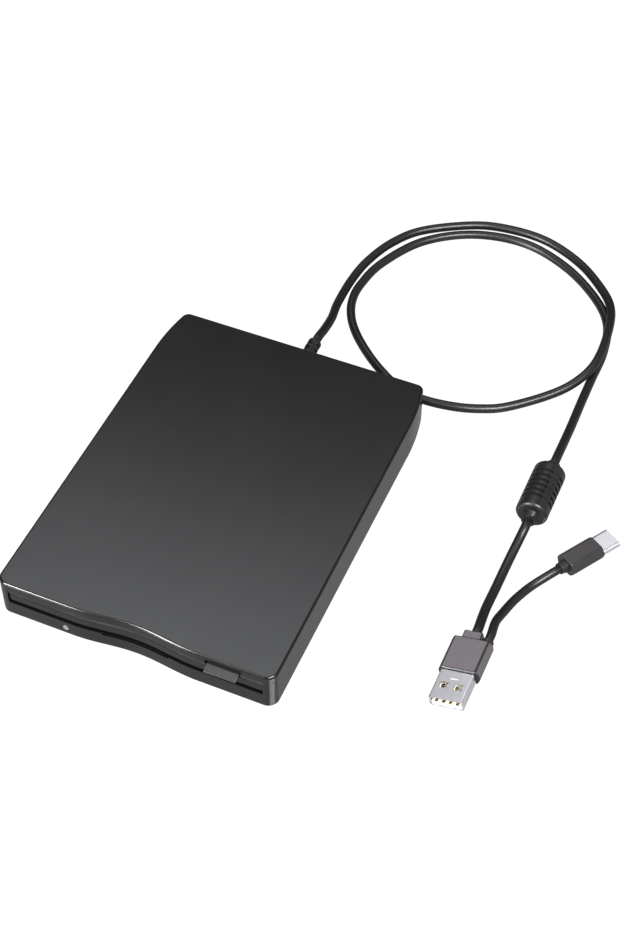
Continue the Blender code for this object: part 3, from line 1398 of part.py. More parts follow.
def make_head_carriage():
    """Carriage: arm under the disk, block with hinge ears, rod sleeve and screw follower."""
    arm_low = FRAME_LOW - SEAT_GAP
    arm_top = FRAME_TOP + ARM_TOP_RISE
    arm_front = HEAD_Y - ARM_NOSE
    carriage = box(
        "head_carriage", (-BLOCK_HALF_WIDTH, BLOCK_FRONT, arm_low), (BLOCK_HALF_WIDTH, BLOCK_REAR, BLOCK_TOP)
    )
    arm = box(
        "lower_arm", (-ARM_HALF_WIDTH, arm_front, arm_low), (ARM_HALF_WIDTH, BLOCK_FRONT + JOIN, arm_top)
    )
    sleeve = rod("rod_sleeve", SLEEVE_RADIUS, (ROD_X, BLOCK_FRONT, ROD_Z), (ROD_X, BLOCK_REAR, ROD_Z))
    bore = rod(
        "sleeve_bore",
        ROD_RADIUS + PIN_GAP,
        (ROD_X, BLOCK_FRONT - JOIN, ROD_Z),
        (ROD_X, BLOCK_REAR + JOIN, ROD_Z),
    )
    web = box(
        "sleeve_web",
        (BLOCK_HALF_WIDTH - JOIN, BLOCK_FRONT, ROD_Z - ROD_RADIUS),
        (ROD_X, BLOCK_REAR, ROD_Z + SLEEVE_RADIUS),
    )
    tip = LEAD_X + LEAD_RADIUS + SEAT_GAP
    follower = box(
        "screw_follower",
        (tip, BLOCK_FRONT, LEAD_Z - FOLLOWER_HALF_HEIGHT),
        (JOIN - BLOCK_HALF_WIDTH, FOLLOWER_REAR, LEAD_Z + FOLLOWER_HALF_HEIGHT),
    )
    join(carriage, arm, web, sleeve, follower)
    cut(carriage, bore)
    for side, sign in SIDES:
        ends = sorted((sign * HINGE_EAR_INNER, sign * BLOCK_HALF_WIDTH))
        ear = box(
            f"hinge_ear_{side}",
            (ends[0], HINGE_Y - HINGE_EAR_DEPTH, BLOCK_TOP - JOIN),
            (ends[1], HINGE_Y + HINGE_EAR_DEPTH, HINGE_Z + HINGE_EAR_TOP),
        )
        hole = rod(
            f"hinge_hole_{side}",
            HINGE_PIN_RADIUS + PIN_GAP,
            (ends[0] - JOIN, HINGE_Y, HINGE_Z),
            (ends[1] + JOIN, HINGE_Y, HINGE_Z),
            FINE_SIDES,
        )
        join(carriage, ear)
        cut(carriage, hole)
    keep(hang(carriage, (0, BLOCK_FRONT, ROD_Z)), "black_plastic")
    head_low = arm_top + SEAT_GAP
    head = box(
        "lower_head",
        (-HEAD_HALF_WIDTH, HEAD_Y - HEAD_HALF_DEPTH, head_low),
        (HEAD_HALF_WIDTH, HEAD_Y + HEAD_HALF_DEPTH, head_low + LOWER_HEAD_HEIGHT),
    )
    keep(soften(hang(head, (0, HEAD_Y, head_low)), JOIN), "ceramic")


def make_upper_arm():
    """Upper head arm on its hinge pin, raised as in an empty drive, with its head."""
    arm_low = HINGE_Z - UPPER_ARM_THICKNESS / 2
    arm = box(
        "upper_head_arm",
        (-UPPER_ARM_HALF_WIDTH, HEAD_Y - HEAD_HALF_DEPTH, arm_low),
        (UPPER_ARM_HALF_WIDTH, HINGE_Y, arm_low + UPPER_ARM_THICKNESS),
    )
    barrel_half = HINGE_EAR_INNER - HINGE_SIDE_GAP
    barrel = rod("arm_barrel", HINGE_BARREL_RADIUS, (-barrel_half, HINGE_Y, HINGE_Z), (barrel_half, HINGE_Y, HINGE_Z))
    pin_half = BLOCK_HALF_WIDTH - JOIN
    pin = rod(
        "arm_pin", HINGE_PIN_RADIUS, (-pin_half, HINGE_Y, HINGE_Z), (pin_half, HINGE_Y, HINGE_Z), FINE_SIDES
    )
    join(arm, barrel, pin)
    keep(hang(arm, (0, HINGE_Y, HINGE_Z)), "grey_plastic")
    head_top = arm_low - SEAT_GAP
    head = box(
        "upper_head",
        (-HEAD_HALF_WIDTH, HEAD_Y - HEAD_HALF_DEPTH, head_top - UPPER_HEAD_HEIGHT),
        (HEAD_HALF_WIDTH, HEAD_Y + HEAD_HALF_DEPTH, head_top),
    )
    keep(soften(hang(head, (0, HINGE_Y, HINGE_Z)), JOIN), "ceramic")


def make_stepper_and_screw():
    """Lead screw between its bracket and the stepper motor."""
    screw_front = POST_REAR + SEAT_GAP
    screw_rear = STEPPER_FRONT - SEAT_GAP - STEPPER_BOSS_LENGTH
    profile = (
        (0, screw_rear),
        (LEAD_RADIUS, screw_rear),
        (LEAD_RADIUS, screw_front),
        (LEAD_PIN_RADIUS, screw_front),
        (LEAD_PIN_RADIUS, POST_FRONT + SEAT_GAP),
        (0, POST_FRONT + SEAT_GAP),
    )
    shifted = [(radius, height - POST_FRONT) for radius, height in profile]
    screw = turned("lead_screw", shifted, (LEAD_X, POST_FRONT, LEAD_Z), "Y", FINE_SIDES)
    keep(screw, "bright_steel")
    motor_profile = (
        (0, STEPPER_REAR),
        (STEPPER_RADIUS, STEPPER_REAR),
        (STEPPER_RADIUS, STEPPER_FRONT),
        (STEPPER_BOSS_RADIUS, STEPPER_FRONT),
        (STEPPER_BOSS_RADIUS, STEPPER_FRONT - STEPPER_BOSS_LENGTH),
        (0, STEPPER_FRONT - STEPPER_BOSS_LENGTH),
    )
    shifted = [(radius, height - STEPPER_FRONT) for radius, height in motor_profile]
    keep(turned("stepper_motor", shifted, (LEAD_X, STEPPER_FRONT, LEAD_Z), "Y"), "sheet_steel")


def make_latch_lever():
    """Lever that the disk's leading edge swings back to let the slider go, with its spring."""
    tab = (LEVER_X + LEVER_TAB_X, LEVER_Y - LEVER_TAB_Y)
    top = LEVER_LOW + LEVER_THICKNESS
    lever = slab("latch_lever", capsule(LEVER_ARM_WIDTH / 2, (LEVER_X, LEVER_Y), tab), LEVER_LOW, top)
    hub = rod("lever_hub", LEVER_HUB_RADIUS, (LEVER_X, LEVER_Y, LEVER_LOW), (LEVER_X, LEVER_Y, top))
    way = rod(
        "lever_way",
        LEVER_POST_RADIUS + PIN_GAP,
        (LEVER_X, LEVER_Y, LEVER_LOW - JOIN),
        (LEVER_X, LEVER_Y, top + JOIN),
        FINE_SIDES,
    )
    join(lever, hub)
    cut(lever, way)
    keep(hang(lever, (LEVER_X, LEVER_Y, LEVER_LOW)), "white_plastic")
    wire = LEVER_SPRING_WIRE / 2
    low = FRAME_TOP + SEAT_GAP + wire
    run = LEVER_LOW - SEAT_GAP - wire - low
    coil = helix((LEVER_X, LEVER_Y, low), LEVER_SPRING_RADIUS, LEVER_SPRING_TURNS, run, "Z")
    leg = coil[0] + Vector((0, 2 * LEVER_SPRING_RADIUS, 0))
    keep(tube("lever_spring", [leg, *coil], wire, 0), "bright_steel")


def make_usb_board():
    """USB board on the bottom cover's posts, with its chip, the cord's connector and leads."""
    front = FRAME_REAR + BOARD_FRONT_GAP
    board_high = BOARD_LOW + BOARD_THICKNESS
    rear = front + BOARD_DEPTH
    board = box("usb_board", (-BOARD_HALF_WIDTH, front, BOARD_LOW), (BOARD_HALF_WIDTH, rear, board_high))
    chip_room = BOARD_DEPTH / 6
    chip = box(
        "bridge_chip",
        (-BOARD_POST_X / 2 - BOARD_DEPTH, front + chip_room, board_high - JOIN),
        (-BOARD_POST_X / 2, rear - chip_room, board_high + CHIP_HEIGHT),
    )
    crystal = box(
        "clock_crystal",
        (-BOARD_POST_X, front + chip_room, board_high - JOIN),
        (-BOARD_POST_X + chip_room * 3, front + chip_room * 3, board_high + CHIP_HEIGHT),
    )
    join(board, chip, crystal)
    keep(board, "circuit_board")
    gland_inner = REAR_Y - CASE_WALL - SEAT_GAP - GLAND_FLANGE_THICKNESS
    header_high = board_high + SEAT_GAP + 2 * CHIP_HEIGHT
    header_half = GLAND_BASE_RADIUS
    header = box(
        "cord_connector",
        (-header_half, front + SEAT_GAP, board_high + SEAT_GAP),
        (header_half, front + BOARD_DEPTH / 2, header_high),
    )
    keep(header, "white_plastic")
    leads = rod(
        "inner_leads",
        BRANCH_RADIUS / 2,
        (0, front + BOARD_DEPTH / 2 + SEAT_GAP, header_high - CHIP_HEIGHT),
        (0, gland_inner - SEAT_GAP, GLAND_Z),
        FINE_SIDES,
    )
    keep(leads, "cord_jacket")
    ribbon_low = FRAME_TOP + SEAT_GAP
    ribbon_high = board_high + SEAT_GAP
    line = (
        (FRAME_REAR - RIBBON_FRONT, ribbon_low),
        (FRAME_REAR - RIBBON_FRONT / 4, ribbon_low),
        (FRAME_REAR, ribbon_high),
        (front + RIBBON_REACH, ribbon_high),
    )
    section = line + tuple((y, z + RIBBON_THICKNESS) for y, z in reversed(line))
    half = RIBBON_WIDTH / 2
    keep(bar("flat_cable", section, RIBBON_X - half, RIBBON_X + half), "ribbon")


def make_sensor_switches():
    """Two switches on the frame's floor that feel the disk's notches."""
    low = FRAME_TOP + SEAT_GAP
    for side, sign in SIDES:
        x = sign * SWITCH_X
        rear = POST_FRONT - SWITCH_BACK
        body = box(
            f"sensor_switch_{side}",
            (x - SWITCH_WIDTH / 2, rear - SWITCH_LENGTH, low),
            (x + SWITCH_WIDTH / 2, rear, low + SWITCH_HEIGHT),
        )
        pin_y = rear - SWITCH_LENGTH / 2
        pin_low = low + SWITCH_HEIGHT
        plunger = rod(
            f"plunger_{side}", PLUNGER_RADIUS, (x, pin_y, pin_low - JOIN), (x, pin_y, pin_low + PLUNGER_RISE), FINE_SIDES
        )
        join(body, plunger)
        keep(body, "black_plastic")


def make_strain_relief():
    """Moulded boot: flange inside the wall, neck in its hole, taper and ring ridges outside."""
    wall_inner = -CASE_WALL - SEAT_GAP
    profile = [(0, GLAND_LENGTH), (GLAND_TIP_RADIUS, GLAND_LENGTH)]
    for number in range(RING_COUNT):
        ring_top = GLAND_LENGTH - RING_END - RING_PITCH * number
        profile += [
            (RING_GROOVE_RADIUS, ring_top),
            (RING_RADIUS, ring_top),
            (RING_RADIUS, ring_top - RING_WIDTH),
            (RING_GROOVE_RADIUS, ring_top - RING_WIDTH),
        ]
    body_top = GLAND_LENGTH - RING_END - RING_PITCH * RING_COUNT
    profile += [
        (RING_GROOVE_RADIUS, body_top),
        (RING_RADIUS, body_top),
        (GLAND_BASE_RADIUS, SEAT_GAP),
        (GLAND_NECK_RADIUS, SEAT_GAP),
        (GLAND_NECK_RADIUS, wall_inner),
        (GLAND_FLANGE_RADIUS, wall_inner),
        (GLAND_FLANGE_RADIUS, wall_inner - GLAND_FLANGE_THICKNESS),
        (0, wall_inner - GLAND_FLANGE_THICKNESS),
    ]
    keep(turned("strain_relief", profile, (0, REAR_Y, GLAND_Z), "Y"), "black_plastic")


def make_ferrite():
    """Moulded sleeve with ring grooves that a plain rib crosses on each side."""
    half = FERRITE_LENGTH / 2
    profile = [(0, FERRITE_END), (FERRITE_COLLAR_RADIUS, FERRITE_END), (FERRITE_COLLAR_RADIUS, half)]
    quarter = math.pi / 2
    inner = FERRITE_RADIUS - FERRITE_EDGE
    profile += arc((inner, half - FERRITE_EDGE), FERRITE_EDGE, quarter, 0, CORNER_STEPS)
    deep = FERRITE_RADIUS - FERRITE_GROOVE_DEPTH
    for number in range(FERRITE_GROOVES):
        centre = FERRITE_PITCH * ((FERRITE_GROOVES - 1) / 2 - number)
        top = centre + FERRITE_GROOVE_WIDTH / 2
        low = centre - FERRITE_GROOVE_WIDTH / 2
        profile += [(FERRITE_RADIUS, top), (deep, top), (deep, low), (FERRITE_RADIUS, low)]
    profile += arc((inner, FERRITE_EDGE - half), FERRITE_EDGE, 0, -quarter, CORNER_STEPS)
    profile += [(FERRITE_COLLAR_RADIUS, -half), (FERRITE_COLLAR_RADIUS, -FERRITE_END), (0, -FERRITE_END)]
    place = Vector((FERRITE_X, FERRITE_Y, FERRITE_RADIUS))
    sleeve = settle(turned("ferrite_sleeve", profile, place, "Y"))
    rib_reach = half - FERRITE_EDGE
    rib_side = math.sqrt(FERRITE_RADIUS**2 - (FERRITE_RIB_WIDTH / 2) ** 2)
    rib = box(
        "ferrite_rib",
        place + Vector((-rib_side, -rib_reach, -FERRITE_RIB_WIDTH / 2)),
        place + Vector((rib_side, rib_reach, FERRITE_RIB_WIDTH / 2)),
    )
    join(sleeve, rib)
    keep(sleeve, "black_plastic")


def plug_axis(name, x, y, z, turn, roll=0):
    """Empty at the cord end of a plug, its +Y along the plug, rolled about it."""
    axis = bpy.data.objects.new(name, None)
    PARTS.objects.link(axis)
    axis.location = (x, y, z)
    axis.rotation_euler = (0, roll, turn)
    return axis


def ride(axis, *pieces):
    """Parents pieces and their helpers to a plug's empty."""
    for piece in pieces:
        piece.parent = axis
        for modifier in piece.modifiers:
            if modifier.type == "BOOLEAN":
                modifier.object.parent = axis


def shell_tube(name, outer, inner, start, end):
    """Open-ended metal shell, with its back closed by a short wall."""
    shell = upright(name, outer, start, end)
    bore = upright(f"{name}_bore", inner, start + USB_SHELL_SHEET, end + OVERRUN)
    return cut(shell, bore)


def rectangle(width, height):
    half_width = width / 2
    half_height = height / 2
    return (
        (-half_width, -half_height),
        (half_width, -half_height),
        (half_width, half_height),
        (-half_width, half_height),
    )


def make_usb_a_plug():
    """USB-A plug: moulded housing with two cord entries, metal shell, tongue with contacts.

    It lies rolled on its lower left edge, as the stiff cords hold it.
    """
    axis = plug_axis("usb_a_axis", USB_A_X, USB_A_Y, USB_A_Z, USB_A_TURN, USB_A_ROLL)
    half = USB_A_HEIGHT / 2
    flat = USB_A_TOP_WIDTH / 2
    full = USB_A_WIDTH / 2
    shoulder = USB_A_SHOULDER / 2
    outline = (
        (-flat, half),
        (-full, shoulder),
        (-full, -shoulder),
        (-flat, -half),
        (flat, -half),
        (full, -shoulder),
        (full, shoulder),
        (flat, half),
    )
    housing = upright("usb_a_housing", outline, 0, USB_A_LENGTH)
    soften(housing, USB_A_EDGE)
    collar_section = [
        (x + USB_A_CORD_OFFSET, z) for x, z in rectangle(USB_A_COLLAR_WIDTH, USB_A_COLLAR_HEIGHT)
    ]
    collar = upright("usb_a_collar", collar_section, -USB_A_COLLAR, JOIN)
    branch_boss = rod(
        "branch_boss",
        USB_A_BRANCH_RADIUS,
        (-USB_A_BRANCH_OFFSET, -USB_A_BRANCH_BOSS, USB_A_BRANCH_RISE),
        (-USB_A_BRANCH_OFFSET, JOIN, USB_A_BRANCH_RISE),
    )
    join(housing, soften(collar, USB_A_EDGE), branch_boss)
    keep(housing, "plug_metal")
    shell_start = USB_A_LENGTH + SEAT_GAP
    shell_end = shell_start + USB_A_SHELL_LENGTH
    inner_width = USB_A_SHELL_WIDTH - 2 * USB_SHELL_SHEET
    inner_height = USB_A_SHELL_HEIGHT - 2 * USB_SHELL_SHEET
    shell = shell_tube(
        "usb_a_shell",
        rectangle(USB_A_SHELL_WIDTH, USB_A_SHELL_HEIGHT),
        rectangle(inner_width, inner_height),
        shell_start,
        shell_end,
    )
    for side, sign in SIDES:
        x = sign * USB_A_WINDOW_OFFSET
        reach = USB_A_SHELL_HEIGHT / 2 + JOIN
        window_end = shell_end - USB_A_WINDOW_INSET + USB_A_WINDOW_SIZE / 2
        cut(
            shell,
            box(
                f"usb_a_window_{side}",
                (x - USB_A_WINDOW_SIZE / 2, window_end - USB_A_WINDOW_SIZE, -reach),
                (x + USB_A_WINDOW_SIZE / 2, window_end, reach),
            ),
        )
    keep(shell, "nickel")
    tongue_low = SEAT_GAP - inner_height / 2
    tongue_half = inner_width / 2 - SEAT_GAP
    tongue_top = tongue_low + USB_A_TONGUE_HEIGHT
    tongue_start = shell_start + USB_SHELL_SHEET + SEAT_GAP
    tongue_end = shell_end - USB_A_TONGUE_INSET
    tongue = box("usb_a_tongue", (-tongue_half, tongue_start, tongue_low), (tongue_half, tongue_end, tongue_top))
    for number in range(USB_A_CONTACTS):
        x = USB_A_CONTACT_PITCH * (number - (USB_A_CONTACTS - 1) / 2)
        contact = box(
            f"usb_a_contact_{number}",
            (x - USB_A_CONTACT_WIDTH / 2, tongue_end - USB_A_CONTACT_LENGTH, tongue_top - JOIN),
            (x + USB_A_CONTACT_WIDTH / 2, tongue_end - JOIN, tongue_top + USB_A_CONTACT_RISE),
        )
        join(tongue, contact)
    keep(tongue, "white_plastic")
    ride(axis, housing, shell, tongue)
    return axis


def stadium(width, height):
    """Oval outline with straight upper and lower runs."""
    return capsule(height / 2, ((height - width) / 2, 0), ((width - height) / 2, 0))


def make_usb_c_plug():
    """USB-C plug: housing with a stepped collar, oval metal shell and inner tongue."""
    axis = plug_axis("usb_c_axis", USB_C_X, USB_C_Y, USB_C_Z, USB_C_TURN)
    half = USB_C_HEIGHT / 2
    flat = USB_C_TOP_WIDTH / 2
    full = USB_C_WIDTH / 2
    shoulder = (flat + 2 * full) / 3
    rise = half / 2
    outline = (
        (-flat, half),
        (-shoulder, rise),
        (-full, 0),
        (-shoulder, -rise),
        (-flat, -half),
        (flat, -half),
        (shoulder, -rise),
        (full, 0),
        (shoulder, rise),
        (flat, half),
    )
    housing = upright("usb_c_housing", outline, 0, USB_C_LENGTH)
    soften(housing, USB_C_EDGE)
    groove = USB_C_COLLAR_RADIUS - USB_C_GROOVE / 2
    profile = (
        (0, JOIN),
        (groove, JOIN),
        (groove, -USB_C_GROOVE),
        (USB_C_COLLAR_RADIUS, -USB_C_GROOVE),
        (USB_C_COLLAR_RADIUS, -USB_C_COLLAR / 2),
        (groove, -USB_C_COLLAR / 2),
        (groove, -USB_C_COLLAR),
        (0, -USB_C_COLLAR),
    )
    join(housing, settle(turned("usb_c_collar", profile, (0, 0, 0), "Y", FINE_SIDES)))
    keep(housing, "plug_metal")
    shell_start = USB_C_LENGTH + SEAT_GAP
    shell_end = shell_start + USB_C_SHELL_LENGTH
    sheets = 2 * USB_SHELL_SHEET
    shell = shell_tube(
        "usb_c_shell",
        stadium(USB_C_SHELL_WIDTH, USB_C_SHELL_HEIGHT),
        stadium(USB_C_SHELL_WIDTH - sheets, USB_C_SHELL_HEIGHT - sheets),
        shell_start,
        shell_end,
    )
    keep(shell, "nickel")
    tongue = upright(
        "usb_c_tongue",
        rectangle(USB_C_TONGUE_WIDTH, USB_C_TONGUE_HEIGHT),
        shell_start + USB_SHELL_SHEET + SEAT_GAP,
        shell_end - USB_C_TONGUE_INSET,
    )
    keep(tongue, "black_plastic")
    ride(axis, housing, shell, tongue)
    return axis


def make_cords(usb_a, usb_c):
    """The three free stretches of cord, each ending a gap short of what it enters."""
    bpy.context.view_layer.update()
    gland_end = Vector((0, REAR_Y + GLAND_LENGTH + SEAT_GAP, GLAND_Z))
    lead = Vector((0, CORD_LEAD, 0))
    rear_end = Vector((FERRITE_X, FERRITE_Y + FERRITE_END + SEAT_GAP, FERRITE_RADIUS))
    front_end = Vector((FERRITE_X, FERRITE_Y - FERRITE_END - SEAT_GAP, FERRITE_RADIUS))
    a_end = Vector((USB_A_CORD_OFFSET, -USB_A_COLLAR - SEAT_GAP, 0))
    branch_start = Vector((-USB_A_BRANCH_OFFSET, -USB_A_BRANCH_BOSS - SEAT_GAP, USB_A_BRANCH_RISE))
    c_end = Vector((0, -USB_C_COLLAR - SEAT_GAP, 0))
    place_a = usb_a.matrix_world
    place_c = usb_c.matrix_world
    runs = (
        ("main_cord", CORD_RADIUS, CORD_POINTS, (gland_end, gland_end + lead, *MAIN_ROUTE, rear_end + lead, rear_end)),
        (
            "tail_cord",
            CORD_RADIUS,
            TAIL_POINTS,
            (front_end, front_end - lead, *TAIL_ROUTE, place_a @ (a_end - lead), place_a @ a_end),
        ),
        (
            "branch_cord",
            BRANCH_RADIUS,
            BRANCH_POINTS,
            (
                place_a @ branch_start,
                place_a @ (branch_start - lead),
                *BRANCH_ROUTE,
                place_c @ (c_end - lead),
                place_c @ c_end,
            ),
        ),
    )
    for name, radius, count, route in runs:
        points, length = smooth_route(route, count)
        keep(tube(name, points, radius), "cord_jacket")
        print(f"{name}: {length:.4f} m long, lowest axis point {min(p.z for p in points):.5f} m")


def make_all():
    make_top_cover()
    make_bottom_cover()
    make_lamp()
    make_feet_and_screws()
    make_dust_flap()
    make_flap_spring()
    make_eject_button()
    make_slider_plate()
    make_slider_springs()
    make_disk_carrier()
    make_drive_frame()
    make_guide_rod()
    make_spindle()
    make_motor_board()
    make_head_carriage()
    make_upper_arm()
    make_stepper_and_screw()
    make_latch_lever()
    make_usb_board()
    make_sensor_switches()
    make_strain_relief()
    make_ferrite()
    make_cords(make_usb_a_plug(), make_usb_c_plug())


make_all()
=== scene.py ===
# %% [markdown]
# # An external floppy disk drive, dressed for a studio picture
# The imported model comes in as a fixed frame. Each visible piece is then modelled or given its
# finish, and rides on the body of the frame that carries it. All lengths are metres.

# %% Frame
import math

import bmesh
import bpy
from mathutils import Matrix, Vector


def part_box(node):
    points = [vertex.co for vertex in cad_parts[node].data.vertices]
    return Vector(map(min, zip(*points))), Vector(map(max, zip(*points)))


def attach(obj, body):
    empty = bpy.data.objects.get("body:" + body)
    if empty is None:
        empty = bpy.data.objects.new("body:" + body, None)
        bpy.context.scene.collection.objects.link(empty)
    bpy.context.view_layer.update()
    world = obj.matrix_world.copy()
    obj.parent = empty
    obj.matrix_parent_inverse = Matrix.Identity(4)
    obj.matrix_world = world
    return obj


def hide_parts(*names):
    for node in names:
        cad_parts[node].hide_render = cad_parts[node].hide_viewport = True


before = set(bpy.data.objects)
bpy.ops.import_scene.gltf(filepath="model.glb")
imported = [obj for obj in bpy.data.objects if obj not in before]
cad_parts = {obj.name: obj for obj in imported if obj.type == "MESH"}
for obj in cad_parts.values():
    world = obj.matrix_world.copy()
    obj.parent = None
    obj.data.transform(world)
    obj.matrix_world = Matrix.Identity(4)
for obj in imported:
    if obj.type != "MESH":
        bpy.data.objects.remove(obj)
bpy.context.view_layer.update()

# %% [markdown]
# ## Camera
# The picture is an upright product shot taken with a long lens from the front right, high up.
# The camera's place and turn were fitted to the drive's straight edges, with the usual size of
# such a drive taken as given, so the scale rests on that size.

# %% Camera
lens = bpy.data.cameras.new("studio_lens")
lens.lens = 70.0
lens.sensor_width = 36.0
lens.clip_start = 0.01
camera = bpy.data.objects.new("studio_camera", lens)
camera.location = (0.19348, -0.36999, 0.50807)
camera.rotation_euler = [math.radians(angle) for angle in (40.8234, -0.0965, 23.3617)]
bpy.context.scene.collection.objects.link(camera)
bpy.context.scene.camera = camera
print("camera", [round(value, 3) for value in camera.location])

# %% [markdown]
# ## Floor, world and lamps
# A black object shows its light by what it mirrors, more than by its colour. So the floor is a
# slightly glossy sheet that glows white for the camera but only dimly in a mirror. The long
# sheen on the top is a wide softbox in the sky, and three soft lamps draw the bright line on
# its front edge and light the corner.

# %% Stage
FLOOR_HALF = 4.0
FLOOR_GLOW = 1.26
FLOOR_SEEN = 0.80
FLOOR_MIRRORED = 0.13
FLOOR_TONE = 0.16
FLOOR_ROUGHNESS = 0.09
WHITE = (1, 1, 1, 1)
SKY_TINT = (0.96, 0.98, 1, 1)
SKY_LOW = 0.07
SKY_FRONT = 0.5
SKY_RIGHT = 0.35
# Each pair says between which two places, along one axis of the direction, a light fades.
SKY_FRONT_SPAN = (-0.8, -0.35)
SKY_RIGHT_SPAN = (0.25, 0.6)
SOFTBOX = 3.6
SOFTBOX_SLANT = -0.24
SOFTBOX_REAR = (0.675, 0.54)
SOFTBOX_FRONT = (0.10, 0.30)
SOFTBOX_LOW = (0.50, 0.62)
SOFTBOX_LEFT = (-0.56, -0.36)
SOFTBOX_RIGHT = (0.02, -0.10)
LAMPS = (
    # name, place, aim, width, height, power
    ("edge_lamp", (-0.52, -0.86, 0.50), (-0.05, -0.07, 0.017), 0.26, 0.62, 24.0),
    ("key_lamp", (0.50, -0.32, 0.76), (0.09, -0.07, 0.0), 0.48, 0.12, 17.0),
    ("front_lamp", (-0.17, -0.19, 0.98), (0.03, -0.07, 0.013), 0.26, 0.22, 0.75),
)


def new_material(name):
    """A material with its node tree, its Principled shader and its links at hand."""
    material = bpy.data.materials.new(name)
    material.use_nodes = True
    tree = material.node_tree
    return material, tree, tree.nodes["Principled BSDF"]


def link(tree, source, target):
    tree.links.new(source, target)


def combined(tree, operation, first, *others):
    """One value from many, by adding them, multiplying them or taking the greatest."""
    for other in others:
        node = tree.nodes.new("ShaderNodeMath")
        node.operation = operation
        link(tree, first, node.inputs[0])
        link(tree, other, node.inputs[1])
        first = node.outputs[0]
    return first


def with_number(tree, operation, value, number):
    """A value scaled or shifted by a fixed number."""
    node = tree.nodes.new("ShaderNodeMath")
    node.operation = operation
    node.inputs[1].default_value = number
    link(tree, value, node.inputs[0])
    return node.outputs[0]


def seen_or_mirrored(tree):
    """A value that is 1 for what the camera sees, straight or by reflection or refraction."""
    path = tree.nodes.new("ShaderNodeLightPath")
    rays = [path.outputs[f"Is {kind} Ray"] for kind in ("Camera", "Glossy", "Transmission")]
    return combined(tree, "MAXIMUM", *rays)


def soft_step(tree, value, start, end, low=0.0, high=1.0):
    """Eases from one level to another while a value goes from start to end."""
    step = tree.nodes.new("ShaderNodeMapRange")
    step.interpolation_type = "SMOOTHSTEP"
    limits = {"From Min": start, "From Max": end, "To Min": low, "To Max": high}
    for label, number in limits.items():
        step.inputs[label].default_value = number
    link(tree, value, step.inputs["Value"])
    return step.outputs[0]


def make_floor():
    bpy.ops.mesh.primitive_plane_add(size=2 * FLOOR_HALF)
    floor = bpy.context.object
    floor.name = "studio_floor"
    material, tree, shader = new_material("white_floor")
    shader.inputs["Base Color"].default_value = (FLOOR_TONE, FLOOR_TONE, FLOOR_TONE, 1)
    shader.inputs["Roughness"].default_value = FLOOR_ROUGHNESS
    glow = tree.nodes.new("ShaderNodeEmission")
    glow.inputs["Color"].default_value = WHITE
    glow.inputs["Strength"].default_value = FLOOR_GLOW
    path = tree.nodes.new("ShaderNodeLightPath")
    level = soft_step(tree, path.outputs["Is Camera Ray"], 0, 1, FLOOR_MIRRORED, FLOOR_SEEN)
    share = combined(tree, "MULTIPLY", seen_or_mirrored(tree), level)
    mix = tree.nodes.new("ShaderNodeMixShader")
    link(tree, share, mix.inputs[0])
    link(tree, shader.outputs[0], mix.inputs[1])
    link(tree, glow.outputs[0], mix.inputs[2])
    link(tree, mix.outputs[0], tree.nodes["Material Output"].inputs["Surface"])
    floor.data.materials.append(material)


def make_world():
    """White behind the picture, and for light a dim sky with a wide softbox in it."""
    world = bpy.data.worlds.new("studio_world")
    bpy.context.scene.world = world
    world.use_nodes = True
    tree = world.node_tree
    sky = tree.nodes["Background"]
    sky.inputs["Color"].default_value = SKY_TINT
    place = tree.nodes.new("ShaderNodeTexCoord")
    parts = tree.nodes.new("ShaderNodeSeparateXYZ")
    link(tree, place.outputs["Generated"], parts.inputs[0])
    across, back, up = parts.outputs
    dim = soft_step(tree, back, *SKY_FRONT_SPAN, SKY_FRONT, SKY_LOW)
    slant = with_number(tree, "MULTIPLY", across, SOFTBOX_SLANT)
    softbox = combined(
        tree,
        "MULTIPLY",
        soft_step(tree, combined(tree, "ADD", back, slant), *SOFTBOX_REAR, 0, SOFTBOX),
        soft_step(tree, back, *SOFTBOX_FRONT),
        soft_step(tree, up, *SOFTBOX_LOW),
        soft_step(tree, across, *SOFTBOX_LEFT),
        soft_step(tree, across, *SOFTBOX_RIGHT),
    )
    right = soft_step(tree, across, *SKY_RIGHT_SPAN, 0, SKY_RIGHT)
    link(tree, combined(tree, "ADD", dim, right, softbox), sky.inputs["Strength"])
    white = tree.nodes.new("ShaderNodeBackground")
    white.inputs["Color"].default_value = WHITE
    path = tree.nodes.new("ShaderNodeLightPath")
    mix = tree.nodes.new("ShaderNodeMixShader")
    link(tree, path.outputs["Is Camera Ray"], mix.inputs[0])
    link(tree, sky.outputs[0], mix.inputs[1])
    link(tree, white.outputs[0], mix.inputs[2])
    link(tree, mix.outputs[0], tree.nodes["World Output"].inputs["Surface"])


def soft_lamp(name, place, aim, width, height, power):
    lamp = bpy.data.lights.new(name, "AREA")
    lamp.shape = "RECTANGLE"
    lamp.size = width
    lamp.size_y = height
    lamp.energy = power
    obj = bpy.data.objects.new(name, lamp)
    obj.location = place
    obj.rotation_euler = (Vector(aim) - Vector(place)).to_track_quat("-Z", "Y").to_euler()
    bpy.context.scene.collection.objects.link(obj)


make_floor()
make_world()
for facts in LAMPS:
    soft_lamp(*facts)
bpy.context.scene.view_settings.view_transform = "Standard"
print("floor, world and three lamps")

# %% [markdown]
# ## Cords
# A moulded lead is a round rubber jacket of one thickness. Its axis is a smooth curve through
# the points where the real one lies on the table, so it is a curve object with a round bevel.
# The first lap passes over the stretch that runs down to the ferrite, in a long low hump.

# %% Cord routes
CORD_RADIUS = 0.00175
BRANCH_RADIUS = 0.0016
END_GAP = 0.0003
CORD_LEAD = 0.003
relief_low, relief_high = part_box("strain_relief")
case_low, case_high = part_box("top_cover")
GLAND_Z = (relief_low.z + relief_high.z) / 2
FERRITE_X = 0.1039
FERRITE_Y = 0.0497
FERRITE_Z = 0.006
FERRITE_END = 0.0145
USB_A_ROLL = math.radians(13.6)
